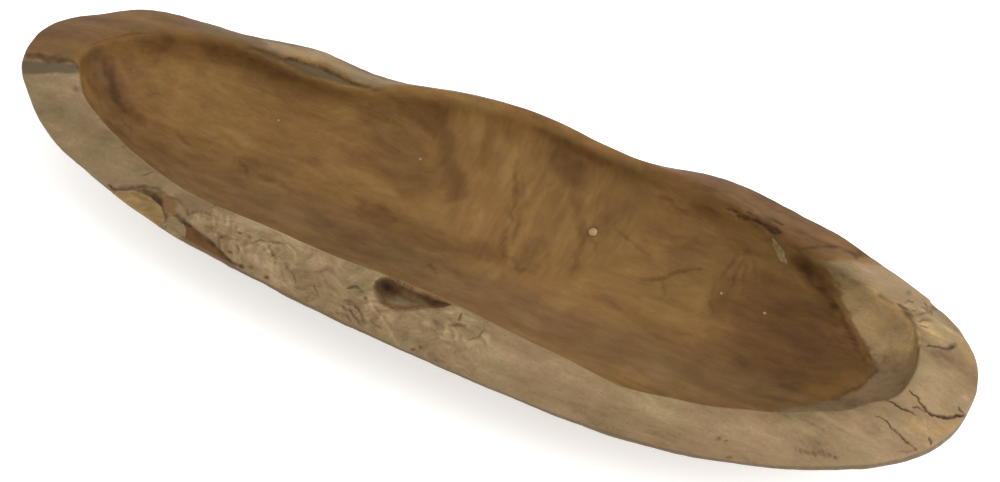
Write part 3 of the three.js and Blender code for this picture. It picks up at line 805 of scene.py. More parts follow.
def wall_point(angle, share):
    mouth = mouth_edge(angle)
    floor = floor_line(angle)
    turn = np.radians(90 * share) * np.ones_like(angle)
    across = np.cos(turn) ** (2 / WALL_FULLNESS)
    down = np.sin(turn) ** (2 / WALL_FULLNESS)
    plan = floor[:, :2] + (mouth[:, :2] - floor[:, :2]) * across[:, None]
    height = mouth[:, 2] + (floor[:, 2] - mouth[:, 2]) * down
    return np.column_stack([plan, height])


def inward_at(angle):
    across = mouth_edge(angle) - rim_edge(angle)
    across[:, 2] = 0
    return unit(across)


def bend(start, control, end, share):
    return start * (1 - share) ** 2 + control * 2 * share * (1 - share) + end * share**2


def column_angles():
    """Angles whose columns stand about COLUMN_STEP apart along the rim."""
    edge = on_outline(RIM, ROUND)
    step = np.linalg.norm(np.diff(edge, axis=0), axis=1)
    wanted = round_the_bowl((ROUND[:-1] + ROUND[1:]) / 2, COLUMN_STEP)
    count = np.concatenate([[0], np.cumsum(step / wanted)])
    columns = int(round(count[-1]))
    return np.interp(np.arange(columns) * count[-1] / columns, count, ROUND)


def bowl_rows(angle):
    """Rows of points from the base's edge up the hull, over the rim and down to the floor."""
    rim = rim_edge(angle)
    mouth = mouth_edge(angle)
    inward = inward_at(angle)
    face = round_the_bowl(angle, EDGE_FACE)[:, None] * UP

    def edge_point(turn):
        inwards = EDGE_RADIUS * (1 + math.cos(math.radians(turn)))
        drop = EDGE_RADIUS * (math.sin(math.radians(turn)) - 1)
        return rim + inward * inwards + UP * drop

    foot = placed(on_outline(BASE, inner_angle(BASE, angle)), np.zeros_like(angle))
    hull_top = edge_point(HULL_END_TURN) - face
    rows = []
    for share in np.linspace(0, 1, HULL_ROWS, endpoint=False):
        out = 2 * share * (1 - share) * BELLY_OUT_SHARE + share**2
        high = 2 * share * (1 - share) * BELLY_UP_SHARE + share**2
        row = foot + (hull_top - foot) * out
        row[:, 2] = hull_top[:, 2] * high
        rows.append(row)
    rows.append(hull_top)
    for turn in np.linspace(*EDGE_TURNS, EDGE_ROWS - 1):
        rows.append(edge_point(turn))
    start = rows[-1]
    crest = mouth - inward * round_the_bowl(angle, CREST_RADIUS)[:, None]
    lip = round_the_bowl(angle, LIP_SHARE)
    for share in np.linspace(0, 1, RIM_ROWS + 1)[1:]:
        crown = RIM_CROWN * 4 * share * (1 - share)
        rows.append(start + (crest - start) * share + UP * crown)
    lip_end = wall_point(angle, lip)
    for share in np.linspace(0, 1, CREST_ROWS + 1)[1:]:
        rows.append(bend(crest, mouth, lip_end, share))
    for share in np.linspace(0, 1, WALL_ROWS + 1)[1:]:
        rows.append(wall_point(angle, lip + (LAST_SHARE - lip) * share))
    return np.stack(rows)


EDGE_START = HULL_ROWS
RIM_START = HULL_ROWS + EDGE_ROWS
CREST_START = RIM_START + RIM_ROWS
WALL_START = CREST_START + CREST_ROWS


def strip_across(ring, places):
    """Faces that fill a ring of points from its right tip to its left tip."""
    ahead, back = 0, len(ring)
    faces = []
    while back - ahead > 2:
        next_ahead = places[ahead + 1][0]
        next_back = places[back - 1][0]
        if next_ahead > next_back:
            faces.append((ring[ahead], ring[ahead + 1], ring[back % len(ring)]))
            ahead += 1
        else:
            faces.append((ring[ahead], ring[back - 1], ring[back % len(ring)]))
            back -= 1
    return faces


def ring_faces(first, columns, rings):
    """Four-sided faces between rings of points that follow each other."""
    faces = []
    for ring in range(rings - 1):
        low = first + ring * columns
        high = low + columns
        for column in range(columns):
            after = (column + 1) % columns
            faces.append((low + column, low + after, high + after, high + column))
    return faces


def ring_mesh(name, rows):
    """A closed mesh of rings of points, with each point's row kept as a value."""
    ring_count, columns = rows.shape[:2]
    faces = ring_faces(0, columns, ring_count)
    first = list(range(columns))
    last = list(range((ring_count - 1) * columns, ring_count * columns))
    faces += [tuple(reversed(face)) for face in strip_across(first, rows[0])]
    faces += strip_across(last, rows[-1])
    mesh = bpy.data.meshes.new(name)
    mesh.from_pydata(rows.reshape(-1, 3).tolist(), [], faces)
    write_value(mesh, "row", np.repeat(np.arange(ring_count, dtype=float), columns))
    return mesh


def write_value(mesh, name, values):
    mesh.attributes.new(name, "FLOAT", "POINT")
    mesh.attributes[name].data.foreach_set("value", values)


def read_values(items, name, width):
    values = np.empty(len(items) * width)
    items.foreach_get(name, values)
    return values.reshape(-1, width)


def camera_axes():
    azimuth = math.radians(AZIMUTH)
    elevation = math.radians(ELEVATION)
    back = np.array([
        math.sin(azimuth) * math.cos(elevation),
        -math.cos(azimuth) * math.cos(elevation),
        math.sin(elevation),
    ])
    right = np.array([math.cos(azimuth), math.sin(azimuth), 0.0])
    return right, np.cross(back, right), back


def pixels_of(places):
    right, up, back = camera_axes()
    focal = PHOTO_WIDTH / 2 / math.tan(math.radians(FIELD_OF_VIEW / 2))
    away = places - (np.array(TARGET) + back * DISTANCE)
    depth = -(away @ back)
    x = PHOTO_WIDTH / 2 + focal * (away @ right) / depth
    y = PHOTO_HEIGHT / 2 - focal * (away @ up) / depth
    return np.column_stack([x, y])


def wander(places, size, start):
    """Smooth noise from -1 to 1, its features about as long as size."""
    offset = Vector((start, start * 0.7, -start))
    return np.array([noise.noise(Vector(place) + offset) for place in places / size])


def around(points, pixels, reach):
    """Numbers of the pixels that lie within reach of the points' own box."""
    corners = np.array(points, float)
    low = corners.min(axis=0) - reach
    high = corners.max(axis=0) + reach
    return np.flatnonzero(np.all((pixels > low) & (pixels < high), axis=1))


def nearest_on(points, pixels):
    """Distance to a line through the points, and the share of its length where it is nearest."""
    corners = np.array(points, float)
    lengths = np.linalg.norm(np.diff(corners, axis=0), axis=1)
    starts = np.concatenate([[0], np.cumsum(lengths)])
    away = np.full(len(pixels), np.inf)
    share = np.zeros(len(pixels))
    for index, length in enumerate(lengths):
        along = corners[index + 1] - corners[index]
        part = np.clip((pixels - corners[index]) @ along / length**2, 0, 1)
        here = np.linalg.norm(pixels - corners[index] - part[:, None] * along, axis=1)
        closer = here < away
        away = np.where(closer, here, away)
        share = np.where(closer, (starts[index] + part * length) / starts[-1], share)
    return away, share


def depth_inside(outline, pixels):
    """Distance in pixels from an outline, above 0 inside it."""
    closed = outline + outline[:1]
    away = nearest_on(closed, pixels)[0]
    inside = np.zeros(len(pixels), bool)
    for (x0, y0), (x1, y1) in zip(closed[:-1], closed[1:]):
        if y0 == y1:
            continue
        crosses = (y0 > pixels[:, 1]) != (y1 > pixels[:, 1])
        at = x0 + (pixels[:, 1] - y0) / (y1 - y0) * (x1 - x0)
        inside ^= crosses & (pixels[:, 0] < at)
    return np.where(inside, away, -away)


def torn_fibres():
    """Short strokes side by side, of uneven length and lean."""
    strokes = {}
    for index in range(TEAR_COUNT):
        x = TEAR_START[0] + TEAR_STEP[0] * index + TEAR_STRAY[0] * math.sin(5 * index)
        y = TEAR_START[1] + TEAR_STEP[1] * index + TEAR_STRAY[1] * math.sin(3 * index)
        tall = TEAR_TALL[0] + TEAR_TALL[1] * math.sin(7 * index)
        points = (x, y), (x + TEAR_LEAN / 3, y + tall / 2), (x + TEAR_LEAN, y + tall)
        strokes[f"fibre_{index}"] = (*TEAR_LOOK, *points)
    return lines("rim", "dark", **strokes)


ALL_LINES = LINES + torn_fibres()


def half_width(line):
    return line.half_width * (WALL_LINE_SPREAD if line.surface == "wall" else 1)


def line_field(line, pixels):
    """A line's strength at each pixel: full along its middle, thinner and weaker at its ends."""
    away, share = nearest_on(line.points, pixels)
    taper = np.sqrt(np.clip(4 * share * (1 - share), 0, 1))
    full = LINE_END_SHARE + (1 - LINE_END_SHARE) * taper
    return np.exp(-((away / (half_width(line) * full)) ** 2)) * full


def oval_field(oval, pixels):
    turn = math.radians(oval.tilt)
    away = pixels - np.array(oval.centre)
    along = (away[:, 0] * math.cos(turn) + away[:, 1] * math.sin(turn)) / oval.half_sizes[0]
    across = (away[:, 1] * math.cos(turn) - away[:, 0] * math.sin(turn)) / oval.half_sizes[1]
    return np.exp(-(along**2 + across**2))


def fill_axes(fill):
    """Centre of a wall fill, its long and short axes along the wall, and the way out of the wood."""
    nudge = 0.01
    angles = fill.angle + np.array([0, nudge, -nudge])
    centre, ahead, behind = wall_point(angles, fill.share)
    lower = wall_point(angles[:1], fill.share + nudge)[0]
    along = unit(ahead - behind)
    out = unit(np.cross(along, lower - centre))
    turn = math.radians(fill.turn)
    long = along * math.cos(turn) + np.cross(out, along) * math.sin(turn)
    return centre, long, np.cross(out, long), out


def round_fills(places):
    """How dark the joint round a wall fill is, and the least distance from a fill."""
    joint = np.zeros(len(places))
    away = np.full(len(places), np.inf)
    for fill in WALL_FILLS.values():
        centre, long, short, out = fill_axes(fill)
        offset = places - centre
        radius = np.hypot(offset @ long / (fill.length / 2), offset @ short / (fill.width / 2))
        gap = (radius - JOINT_AT) * fill.width / 2
        level = np.abs(offset @ out) < JOINT_REACH
        joint = np.maximum(joint, fill.joint * np.exp(-((gap / JOINT_WIDTH) ** 2)) * level)
        away = np.minimum(away, np.linalg.norm(offset, axis=1) - fill.length / 2)
    return joint, away


def refine(mesh, reach, fine_groove, fine_area):
    """Splits the faces of an area, and those near the hollow, a fill or a fine line with a groove."""
    model = bmesh.new()
    model.from_mesh(mesh)
    layer = model.verts.layers.float["row"]
    faces = list(model.faces)
    centres = np.array([face.calc_center_median() for face in faces])
    rows = np.array([face.verts[0][layer] for face in faces])
    pixels = pixels_of(centres)
    surfaces = {
        "rim": (rows >= EDGE_START) & (rows < WALL_START),
        "wall": rows >= CREST_START,
        "top": rows >= EDGE_START,
    }
    wanted = surfaces["rim"] & (depth_inside(HOLLOW, pixels) > -reach)
    wanted |= surfaces["rim"] & (depth_inside(fine_area, pixels) > 0)
    wanted |= surfaces["wall"] & (round_fills(centres)[1] < reach)
    for line in ALL_LINES:
        if line.half_width < FINE_LINE and line.groove >= fine_groove:
            near = around(line.points, pixels, reach)
            close = nearest_on(line.points, pixels[near])[0] < reach
            wanted[near] |= close & surfaces["rim" if line.surface == "hollow" else line.surface][near]
    edges = {edge for face, chosen in zip(faces, wanted) if chosen for edge in face.edges}
    bmesh.ops.subdivide_edges(model, edges=list(edges), cuts=1, use_grid_fill=True)
    model.to_mesh(mesh)
    model.free()
    mesh.update()


def hollow_depth(pixels):
    """How far the open knot sinks: steep under the crest, shallow towards the outer edge and the tip."""
    inside = depth_inside(HOLLOW, pixels) > -HOLLOW_BRIM
    from_crest, share = nearest_on(HOLLOW_CREST, pixels)
    from_foot = nearest_on(HOLLOW_FOOT, pixels)[0]
    steep = smooth_step(*HOLLOW_STEEP, np.where(inside, from_crest, -1))
    gentle = smooth_step(*HOLLOW_GENTLE, from_foot)
    return HOLLOW_DEPTH * steep * gentle * (1 - HOLLOW_TIP_LOSS * share) * inside


def drift(places, size, starts):
    """Two noises side by side, to move points or pixels with."""
    return np.column_stack([wander(places, size, start) for start in starts])


def burl_folds(places, pixels):
    """Ridges from -1 to 1 that lean one way or the other across the rim, in the zones that have them."""
    lean = math.radians(FOLD_LEAN) * np.sign(wander(places, *FOLD_LEAN_NOISE))
    bent = places[:, :2] + FOLD_BEND * drift(places, *FOLD_BEND_NOISE)
    wide = bent[:, 0] * np.cos(lean) + bent[:, 1] * np.sin(lean)
    long = bent[:, 1] * np.cos(lean) - bent[:, 0] * np.sin(lean)
    scaled = np.column_stack([wide / FOLD_WIDTH, long / FOLD_LENGTH, places[:, 2] / FOLD_LENGTH])
    ridge = np.clip(1 - FOLD_STEEPNESS * np.abs(wander(scaled, *FOLD_NOISE)), -1, 1)
    zones = [zone.strength * oval_field(zone, pixels) for zone in BURL_FOLDS]
    return ridge * smooth_step(*FOLD_ZONE, np.max(zones, axis=0))


def shares_of(row, pixels):
    """How far each point belongs to each surface, from 0 to 1."""
    wall = smooth_step(CREST_START + 1, WALL_START - 1, row)
    rim = smooth_step(EDGE_START, RIM_START - 2, row) * (1 - wall)
    hull = 1 - smooth_step(EDGE_START - 1, RIM_START - 1, row)
    past_edge = smooth_step(RIM_START, RIM_START + 4, row)
    return {
        "wall": wall,
        "rim": rim,
        "hull": hull,
        "top": 1 - hull,
        "edge": smooth_step(EDGE_START - 2, EDGE_START + 1, row) * (1 - past_edge),
        "hollow": smooth_step(*HOLLOW_BORDER, depth_inside(HOLLOW, pixels)) * rim,
    }


def strayed_pixels(places, pixels, sunk):
    """Pixels moved a little, for uneven borders of marks. In the knot they also sink with the wood."""
    stray = drift(places, *WIDE_NOISE) + CLOSE_SHARE * drift(places, *CLOSE_NOISE)
    sharp = pixels + SHARP_STRAY * stray + SHARP_RAGGED * drift(places, *RAGGED_NOISE)
    return {
        "soft": pixels + SOFT_STRAY * stray,
        "sharp": sharp,
        "hollow": sharp - pixels + pixels_of(places - UP * sunk[:, None]),
    }


def lay_marks(shares, strayed, fray, fields, move):
    """Adds every mark to the values of the wood, and cuts the grooves and steps of marks."""

    def seen_by(mark, fine):
        if mark.surface == "hollow":
            return strayed["hollow"]
        return strayed["sharp" if fine else "soft"]

    def add(mark, near, field):
        fields[mark.value][near] = np.maximum(fields[mark.value][near], mark.strength * field)

    for line in ALL_LINES:
        seen = seen_by(line, half_width(line) < FINE_LINE)
        near = around(line.points, seen, LINE_REACH * half_width(line))
        field = line_field(line, seen[near]) * shares[line.surface][near]
        add(line, near, field * fray[near])
        move[near] -= line.groove * field
    for oval in OVALS:
        seen = seen_by(oval, oval.half_sizes[0] < FINE_OVAL)
        near = around([oval.centre], seen, OVAL_REACH * max(oval.half_sizes))
        add(oval, near, oval_field(oval, seen[near]) * shares[oval.surface][near])
    for area in AREAS:
        seen = seen_by(area, area.softness < FINE_AREA)
        near = around(area.outline, seen, AREA_REACH * area.softness)
        inside = smooth_step(-area.softness, area.softness, depth_inside(area.outline, seen[near]))
        field = inside * shares[area.surface][near]
        add(area, near, field)
        move[near] += area.step * field


def shape_and_mark(mesh):
    """Moves the points by the wood's own unevenness, and writes the values that its material reads."""
    places = read_values(mesh.vertices, "co", 3)
    normals = read_values(mesh.vertex_normals, "vector", 3)
    row = read_values(mesh.attributes["row"].data, "value", 1)[:, 0]
    pixels = pixels_of(places)
    shares = shares_of(row, pixels)
    sunk = hollow_depth(pixels) * (row > EDGE_START) * (row < WALL_START - 2)
    strayed = strayed_pixels(places, pixels, sunk)
    burl = smooth_step(*BURL_BORDER, depth_inside(BURL, strayed["soft"])) * shares["rim"]
    wrinkle = burl_folds(places, strayed["soft"]) * burl

    move = FOLD_HEIGHT * wrinkle
    above_foot = smooth_step(0, LEVEL_FOOT, places[:, 2])
    for surface, share in {**shares, "burl": burl, "hull": shares["hull"] * above_foot}.items():
        for height, size, start in UNEVENNESS.get(surface, []):
            move += share * height * wander(places, size, start)

    fields = {name: np.zeros(len(places)) for name in (*TINTS, "dark", "grey", "pale", "heart")}
    # Painted light on the ridges of the burl's folds
    fields["light"] = FOLD_LIGHT * smooth_step(*FOLD_CLEAR, wrinkle)
    # Painted shade along the outer edge
    fields["dark"] = EDGE_DARK * shares["edge"] * (1 - shares["rim"])
    stained = shares["hollow"] * smooth_step(*HOLLOW_STAIN, nearest_on(HOLLOW_FOOT, pixels)[0])
    fields["heart"] = HOLLOW_HEART * stained
    # Painted shade in the troughs of the burl's folds, and the darker floor of the open knot
    fields["shade"] = np.maximum(FOLD_SHADE * smooth_step(*FOLD_CLEAR, -wrinkle), HOLLOW_SHADE * stained)
    fray = LINE_FRAY[0] + LINE_FRAY[1] * wander(places, *LINE_FRAY_NOISE)
    lay_marks(shares, strayed, np.clip(fray, *LINE_FRAY_LIMITS), fields, move)
    joint = round_fills(places)[0]
    fields["dark"] = np.maximum(fields["dark"], joint)
    move -= JOINT_GROOVE * joint

    rim_pale = 1 - smooth_step(*SAP_BORDER, depth_inside(FAR_HEARTWOOD, strayed["sharp"]))
    wall_pale = smooth_step(*SAP_BORDER, depth_inside(RIGHT_SAPWOOD, strayed["sharp"]))
    pale = rim_pale * (1 - shares["wall"]) + wall_pale * shares["wall"]
    fields["pale"] = np.maximum(fields["pale"], pale) * (1 - np.clip(fields.pop("heart"), 0, 1))
    # Painted light lifts only the pale wood
    fields["bright"] *= fields["pale"]
    cross = smooth_step(*CROSS_BORDER, depth_inside(CROSS_FIGURE, strayed["soft"]))
    fields["cross"] = cross * shares["wall"]
    fields["burl"] = burl
    fields["hull"] = shares["hull"]
    moved = places + normals * move[:, None] - UP * sunk[:, None]
    mesh.vertices.foreach_set("co", (moved * MM).ravel())
    for name, values in fields.items():
        write_value(mesh, name, values)
    mesh.attributes.remove(mesh.attributes["row"])
    mesh.update()


class Finish:
    """A node material, with short ways to add its nodes."""

    def __init__(self, name):
        self.material = bpy.data.materials.new(name)
        self.material.use_nodes = True
        self.tree = self.material.node_tree
        self.shader = self.tree.nodes["Principled BSDF"]
        self.place = self.tree.nodes.new("ShaderNodeTexCoord").outputs["Object"]

    def set(self, socket, value):
        self.shader.inputs[socket].default_value = value

    def feed(self, socket, value):
        if isinstance(value, bpy.types.NodeSocket):
            self.tree.links.new(value, socket)
        else:
            socket.default_value = value

    def node(self, kind, values, **settings):
        node = self.tree.nodes.new(kind)
        for name, value in settings.items():
            setattr(node, name, value)
        for socket, value in values.items():
            self.feed(node.inputs[socket], value)
        return node

    def math(self, operation, first, second):
        return self.node("ShaderNodeMath", {0: first, 1: second}, operation=operation).outputs[0]

    def weighed(self, *pairs):
        """The sum of values, each times its weight."""
        total = self.math("MULTIPLY", *pairs[0])
        for value, weight in pairs[1:]:
            total = self.math("ADD", total, self.math("MULTIPLY", value, weight))
        return total

    def vector(self, operation, first, second):
        socket = "Scale" if operation == "SCALE" else 1
        node = self.node("ShaderNodeVectorMath", {0: first, socket: second}, operation=operation)
        return node.outputs[0]

    def stretched(self, vector, scale):
        return self.node("ShaderNodeMapping", {"Vector": vector, "Scale": scale}).outputs[0]

    def noise(self, vector, scale, detail, roughness=0.5, distortion=0.0, output="Fac"):
        values = {"Vector": vector, "Scale": scale, "Detail": detail, "Roughness": roughness}
        return self.node("ShaderNodeTexNoise", {**values, "Distortion": distortion}).outputs[output]

    def value(self, name):
        return self.node("ShaderNodeAttribute", {}, attribute_name=name).outputs["Fac"]

    def between(self, share, first, second):
        return self.node("ShaderNodeMix", {0: share, 2: first, 3: second}).outputs[0]

    def mix(self, share, first, second, blend="MIX"):
        values = {0: share, 6: first, 7: second}
        return self.node("ShaderNodeMix", values, data_type="RGBA", blend_type=blend).outputs[2]

    def ramp(self, value, stops):
        node = self.node("ShaderNodeValToRGB", {0: value})
        while len(node.color_ramp.elements) < len(stops):
            node.color_ramp.elements.new(1.0)
        for element, (position, colour) in zip(node.color_ramp.elements, stops):
            element.position = position
            element.color = (*colour, 1)
        return node.outputs[0]

    def spread(self, value, low, high):
        values = {0: value, 1: low, 2: high}
        return self.node("ShaderNodeMapRange", values, interpolation_type="SMOOTHSTEP").outputs[0]

    def bump(self, height, strength, distance):
        values = {"Height": height, "Strength": strength, "Distance": distance}
        self.feed(self.shader.inputs["Normal"], self.node("ShaderNodeBump", values).outputs[0])


# What a mark's value multiplies the wood's colour by
TINTS = {
    # Pale fibres of the wood, and painted light where marks place it
    "light": (1.42, 1.46, 1.52),
    "gold": (1.25, 1.13, 0.80),
    "red": (0.68, 0.58, 0.58),
    # Brown stains of the wood, and painted shade where marks place it
    "shade": (0.53, 0.43, 0.33),
    "mauve": (0.88, 0.95, 1.20),
    # Painted light on the pale wood where the lamp leaves it in shade
    "bright": (1.95, 1.90, 1.60),
}


# Colours of heartwood and sapwood from dark to light, and a slow change of hue over both
BROWN_STOPS = [
    (0.38, (0.116, 0.057, 0.016)),
    (0.465, (0.166, 0.086, 0.025)),
    (0.535, (0.199, 0.107, 0.032)),
    (0.62, (0.244, 0.139, 0.044)),
]
SAP_STOPS = [
    (0.37, (0.110, 0.070, 0.032)),
    (0.46, (0.190, 0.127, 0.062)),
    (0.54, (0.238, 0.163, 0.083)),
    (0.63, (0.330, 0.235, 0.130)),
]
HUE_STOPS = [(0.36, (0.975, 0.995, 0.94)), (0.64, (1.04, 0.98, 0.99))]
GREY_WOOD = (0.092, 0.066, 0.029, 1)
# Greyer, darker colour over the hull
WORN_HULL = (0.15, 0.118, 0.076, 1)
PORE_BROWN = (0.06, 0.032, 0.014, 1)
STAIN_TINT = (0.42, 0.36, 0.31, 1)
STAIN_BLACK = (0.034, 0.018, 0.010, 1)
Figure = namedtuple("Figure", "tone mottle fibre cloud hue pores speckle")


def teak_figure(wood, burl, cross):
    """Patterns of the wood: along the log, down the wall in the cross figure, swirled in the burl."""
    stray = wood.vector("SUBTRACT", wood.noise(wood.place, 13, 3, output="Color"), (0.5, 0.5, 0.5))
    reach = wood.weighed((burl, 0.03), (1.0, 0.016))
    place = wood.vector("ADD", wood.place, wood.vector("SCALE", stray, reach))
    along = wood.stretched(place, (1, 9, 9))
    down = wood.stretched(place, (9, 1.5, 1.5))
    broad = wood.between(cross, wood.noise(along, 5, 4), wood.noise(down, 5, 4))
    fibre = wood.between(cross, wood.noise(along, 30, 6, 0.65), wood.noise(down, 30, 6, 0.65))
    swirl = wood.noise(wood.stretched(place, (1.5, 3, 3)), 34, 5, 0.62, 1.4)
    fibre = wood.between(burl, fibre, swirl)
    cloud = wood.noise(place, 17, 4, 0.6)
    pores = wood.spread(wood.noise(wood.stretched(place, (1, 6, 6)), 170, 2), 0.60, 0.72)
    tone = wood.weighed((broad, 0.4), (cloud, 0.4), (fibre, 0.2))
    swirl_tone = wood.math("MULTIPLY", burl, wood.weighed((swirl, 0.5), (1.0, -0.25)))
    mottle_along = wood.noise(wood.stretched(place, (1, 2.6, 2.6)), 34, 4, 0.6, 0.3)
    mottle_down = wood.noise(wood.stretched(place, (2.6, 1, 1)), 34, 4, 0.6, 0.3)
    return Figure(
        tone=wood.math("ADD", tone, swirl_tone),
        mottle=wood.between(cross, mottle_along, mottle_down),
        fibre=fibre,
        cloud=cloud,
        hue=wood.noise(place, 26, 3, 0.55),
        pores=wood.math("MULTIPLY", pores, wood.math("SUBTRACT", 1.0, cross)),
        speckle=wood.noise(place, 430, 3, 0.6),
    )


def marked_colour(wood, colour, figure):
    """The colour with its tints and painted light, greyer hull, pores, stains and painted shade, whose
    borders the grain frays.
    """
    feather = wood.math("SUBTRACT", wood.weighed((figure.fibre, 0.6), (figure.cloud, 0.4)), 0.5)
    shift = wood.math("MULTIPLY", feather, 0.9)

    def frayed(name):
        value = wood.value(name)
        return wood.math("MULTIPLY", value, wood.spread(wood.math("ADD", value, shift), 0.0, 0.35))

    for name, change in TINTS.items():
        colour = wood.mix(frayed(name), colour, (*change, 1), "MULTIPLY")
    colour = wood.mix(wood.math("MULTIPLY", frayed("grey"), 0.7), colour, GREY_WOOD)
    colour = wood.mix(wood.math("MULTIPLY", wood.value("hull"), 0.45), colour, WORN_HULL)
    colour = wood.mix(wood.math("MULTIPLY", figure.pores, 0.22), colour, PORE_BROWN)
    # Dark marks are stains, cracks and joints, and painted shade along the outer edge and in the open
    # knot
    dark = wood.value("dark")
    stain = wood.spread(wood.math("ADD", dark, shift), 0.05, 0.8)
    stain = wood.math("MULTIPLY", stain, wood.spread(dark, 0.0, 0.15))
    colour = wood.mix(stain, colour, wood.mix(1.0, colour, STAIN_TINT, "MULTIPLY"))
    return wood.mix(wood.math("MULTIPLY", wood.spread(dark, 0.7, 1.1), stain), colour, STAIN_BLACK)


def oiled_teak():
    """Heartwood and sapwood of one log, with the stains, figure, painted light and painted shade that the
    mesh's values place.
    """
    wood = Finish("oiled_teak")
    figure = teak_figure(wood, wood.value("burl"), wood.value("cross"))
    brown = wood.ramp(wood.weighed((figure.tone, 0.68), (figure.mottle, 0.32)), BROWN_STOPS)
    coarse = wood.weighed((figure.tone, 0.7), (figure.mottle, 0.2), (figure.speckle, 0.1))
    colour = wood.mix(wood.value("pale"), brown, wood.ramp(coarse, SAP_STOPS))
    colour = wood.mix(1.0, colour, wood.ramp(figure.hue, HUE_STOPS), "MULTIPLY")
    wood.feed(wood.shader.inputs["Base Color"], marked_colour(wood, colour, figure))
    wood.feed(wood.shader.inputs["Roughness"], wood.weighed((figure.fibre, 0.25), (1.0, 0.45)))
    wood.set("Specular IOR Level", 0.18)
    wood.bump(wood.weighed((figure.fibre, 1.0), (figure.pores, -0.5)), 0.3, 0.0012)
    return wood.material


# Finish of each fill: darkest and lightest colour, stretch of its grain, size of its grain
FILL_FINISHES = {
    "pale_plug": ((0.20, 0.125, 0.050), (0.46, 0.33, 0.165), (1, 1, 2.5), 420),
    "grey_putty": ((0.165, 0.116, 0.045), (0.355, 0.264, 0.116), (1.6, 1, 0.8), 200),
    "golden_wood": ((0.108, 0.062, 0.021), (0.345, 0.222, 0.083), (1, 3, 2), 55),
    "pale_chip": ((0.140, 0.092, 0.044), (0.31, 0.218, 0.108), (1, 4, 3), 90),
    "pin_filler": ((0.20, 0.135, 0.075), (0.40, 0.295, 0.18), (1, 1, 1), 700),
}


def fill_finish(name):
    """A fill's own material: flecked grain between two colours, dull, with a fine bump."""
    darkest, lightest, stretch, scale = FILL_FINISHES[name]
    fill = Finish(name)
    place = fill.stretched(fill.place, stretch)
    grain = fill.noise(place, scale, 5, 0.6, 0.8)
    cloud = fill.noise(fill.place, scale / 3, 3)
    tone = fill.weighed((grain, 0.6), (cloud, 0.4))
    middle = tuple((low + high) / 2 for low, high in zip(darkest, lightest))
    colour = fill.ramp(tone, [(0.33, darkest), (0.5, middle), (0.66, lightest)])
    fill.feed(fill.shader.inputs["Base Color"], colour)
    fill.feed(fill.shader.inputs["Roughness"], fill.weighed((grain, 0.3), (1.0, 0.5)))
    fill.set("Specular IOR Level", 0.2)
    fill.bump(tone, 0.35, 0.0008)
    return fill.material


def add_piece(name, mesh, material):
    mesh.materials.append(material)
    mesh.shade_smooth()
    piece = bpy.data.objects.new(name, mesh)
    bpy.context.scene.collection.objects.link(piece)
    return piece


def add_part(name, mesh, material, node):
    """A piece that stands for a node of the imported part."""
    piece = add_piece(name, mesh, material)
    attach(piece, "root")
    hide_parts(node)


def add_bowl():
    mesh = ring_mesh("carved_bowl", bowl_rows(column_angles()))
    refine(mesh, COARSE_REACH, 0, BURL)
    refine(mesh, FINE_REACH, FINE_GROOVE, HOLLOW)
    shape_and_mark(mesh)
    add_part("carved_bowl", mesh, oiled_teak(), "bowl_body")
    return BVHTree.FromPolygons([v.co / MM for v in mesh.vertices], [p.vertices for p in mesh.polygons])


def on_wood(tree, place, direction):
    """Where a line through a place, against a direction out of the wood, first meets the bowl."""
    reach = 14.0
    hit = tree.ray_cast(Vector(place + direction * reach), Vector(-direction), 2 * reach)[0]
    return place if hit is None else np.array(hit)


def closed_mesh(name, places, faces):
    mesh = bpy.data.meshes.new(name)
    mesh.from_pydata((np.array(places) * MM).tolist(), [], faces)
    model = bmesh.new()
    model.from_mesh(mesh)
    bmesh.ops.recalc_face_normals(model, faces=model.faces)
    model.to_mesh(mesh)
    model.free()
    return mesh


def add_wall_fill(tree, name, fill, material):
    """A fill with a low dome that follows the wood round it, and a foot that stands in the wood."""
    centre, long, short, out = fill_axes(fill)
    turns = np.arange(FILL_SIDES) * 2 * math.pi / FILL_SIDES
    ragged = 1 + fill.uneven * (0.6 * np.sin(2 * turns + fill.length) + 0.4 * np.sin(5 * turns + 1))
    places = []
    for share in FILL_RING_SHARES:
        lift = fill.proud * (1 - share**4) - FILL_BORDER_SINK * share**8
        for turn, grow in zip(turns, ragged):
            offset = long * math.cos(turn) * fill.length / 2 + short * math.sin(turn) * fill.width / 2
            places.append(on_wood(tree, centre + offset * share * grow, out) + out * lift)
    places += list(np.array(places[-FILL_SIDES:]) - out * FILL_DEPTH)
    rings = len(FILL_RING_SHARES) + 1
    faces = ring_faces(0, FILL_SIDES, rings)
    faces += [tuple(range(FILL_SIDES)), tuple(range((rings - 1) * FILL_SIDES, rings * FILL_SIDES))]
    add_part(f"{name}_face", closed_mesh(name, places, faces), material, name)


def edge_fill_rows(rim, inward, reach):
    """Rows of places and directions out of the wood, from the hull over the edge to the reach."""
    rows = [(rim - UP * drop, -inward) for drop in EDGE_FILL_DROPS]
    rows.append((rim + (inward - UP) * EDGE_FILL_CORNER, unit(UP - inward)))
    for share in EDGE_FILL_TOP_SHARES:
        rows.append((rim + inward * (share * reach)[:, None], np.tile(UP, (len(rim), 1))))
    return rows


def slab_faces(rows, columns):
    """Faces of a slab: a grid of points, the same grid again below it, and the sides between them."""
    half = rows * columns
    faces = []
    for row in range(rows - 1):
        for column in range(columns - 1):
            first = row * columns + column
            face = (first, first + 1, first + columns + 1, first + columns)
            faces += [face, tuple(corner + half for corner in reversed(face))]
    border = list(range(columns))
    border += [row * columns + columns - 1 for row in range(1, rows)]
    border += [half - 1 - column for column in range(1, columns)]
    border += [row * columns for row in range(rows - 2, 0, -1)]
    for first, after in zip(border, border[1:] + border[:1]):
        faces.append((first, after, after + half, first + half))
    return faces


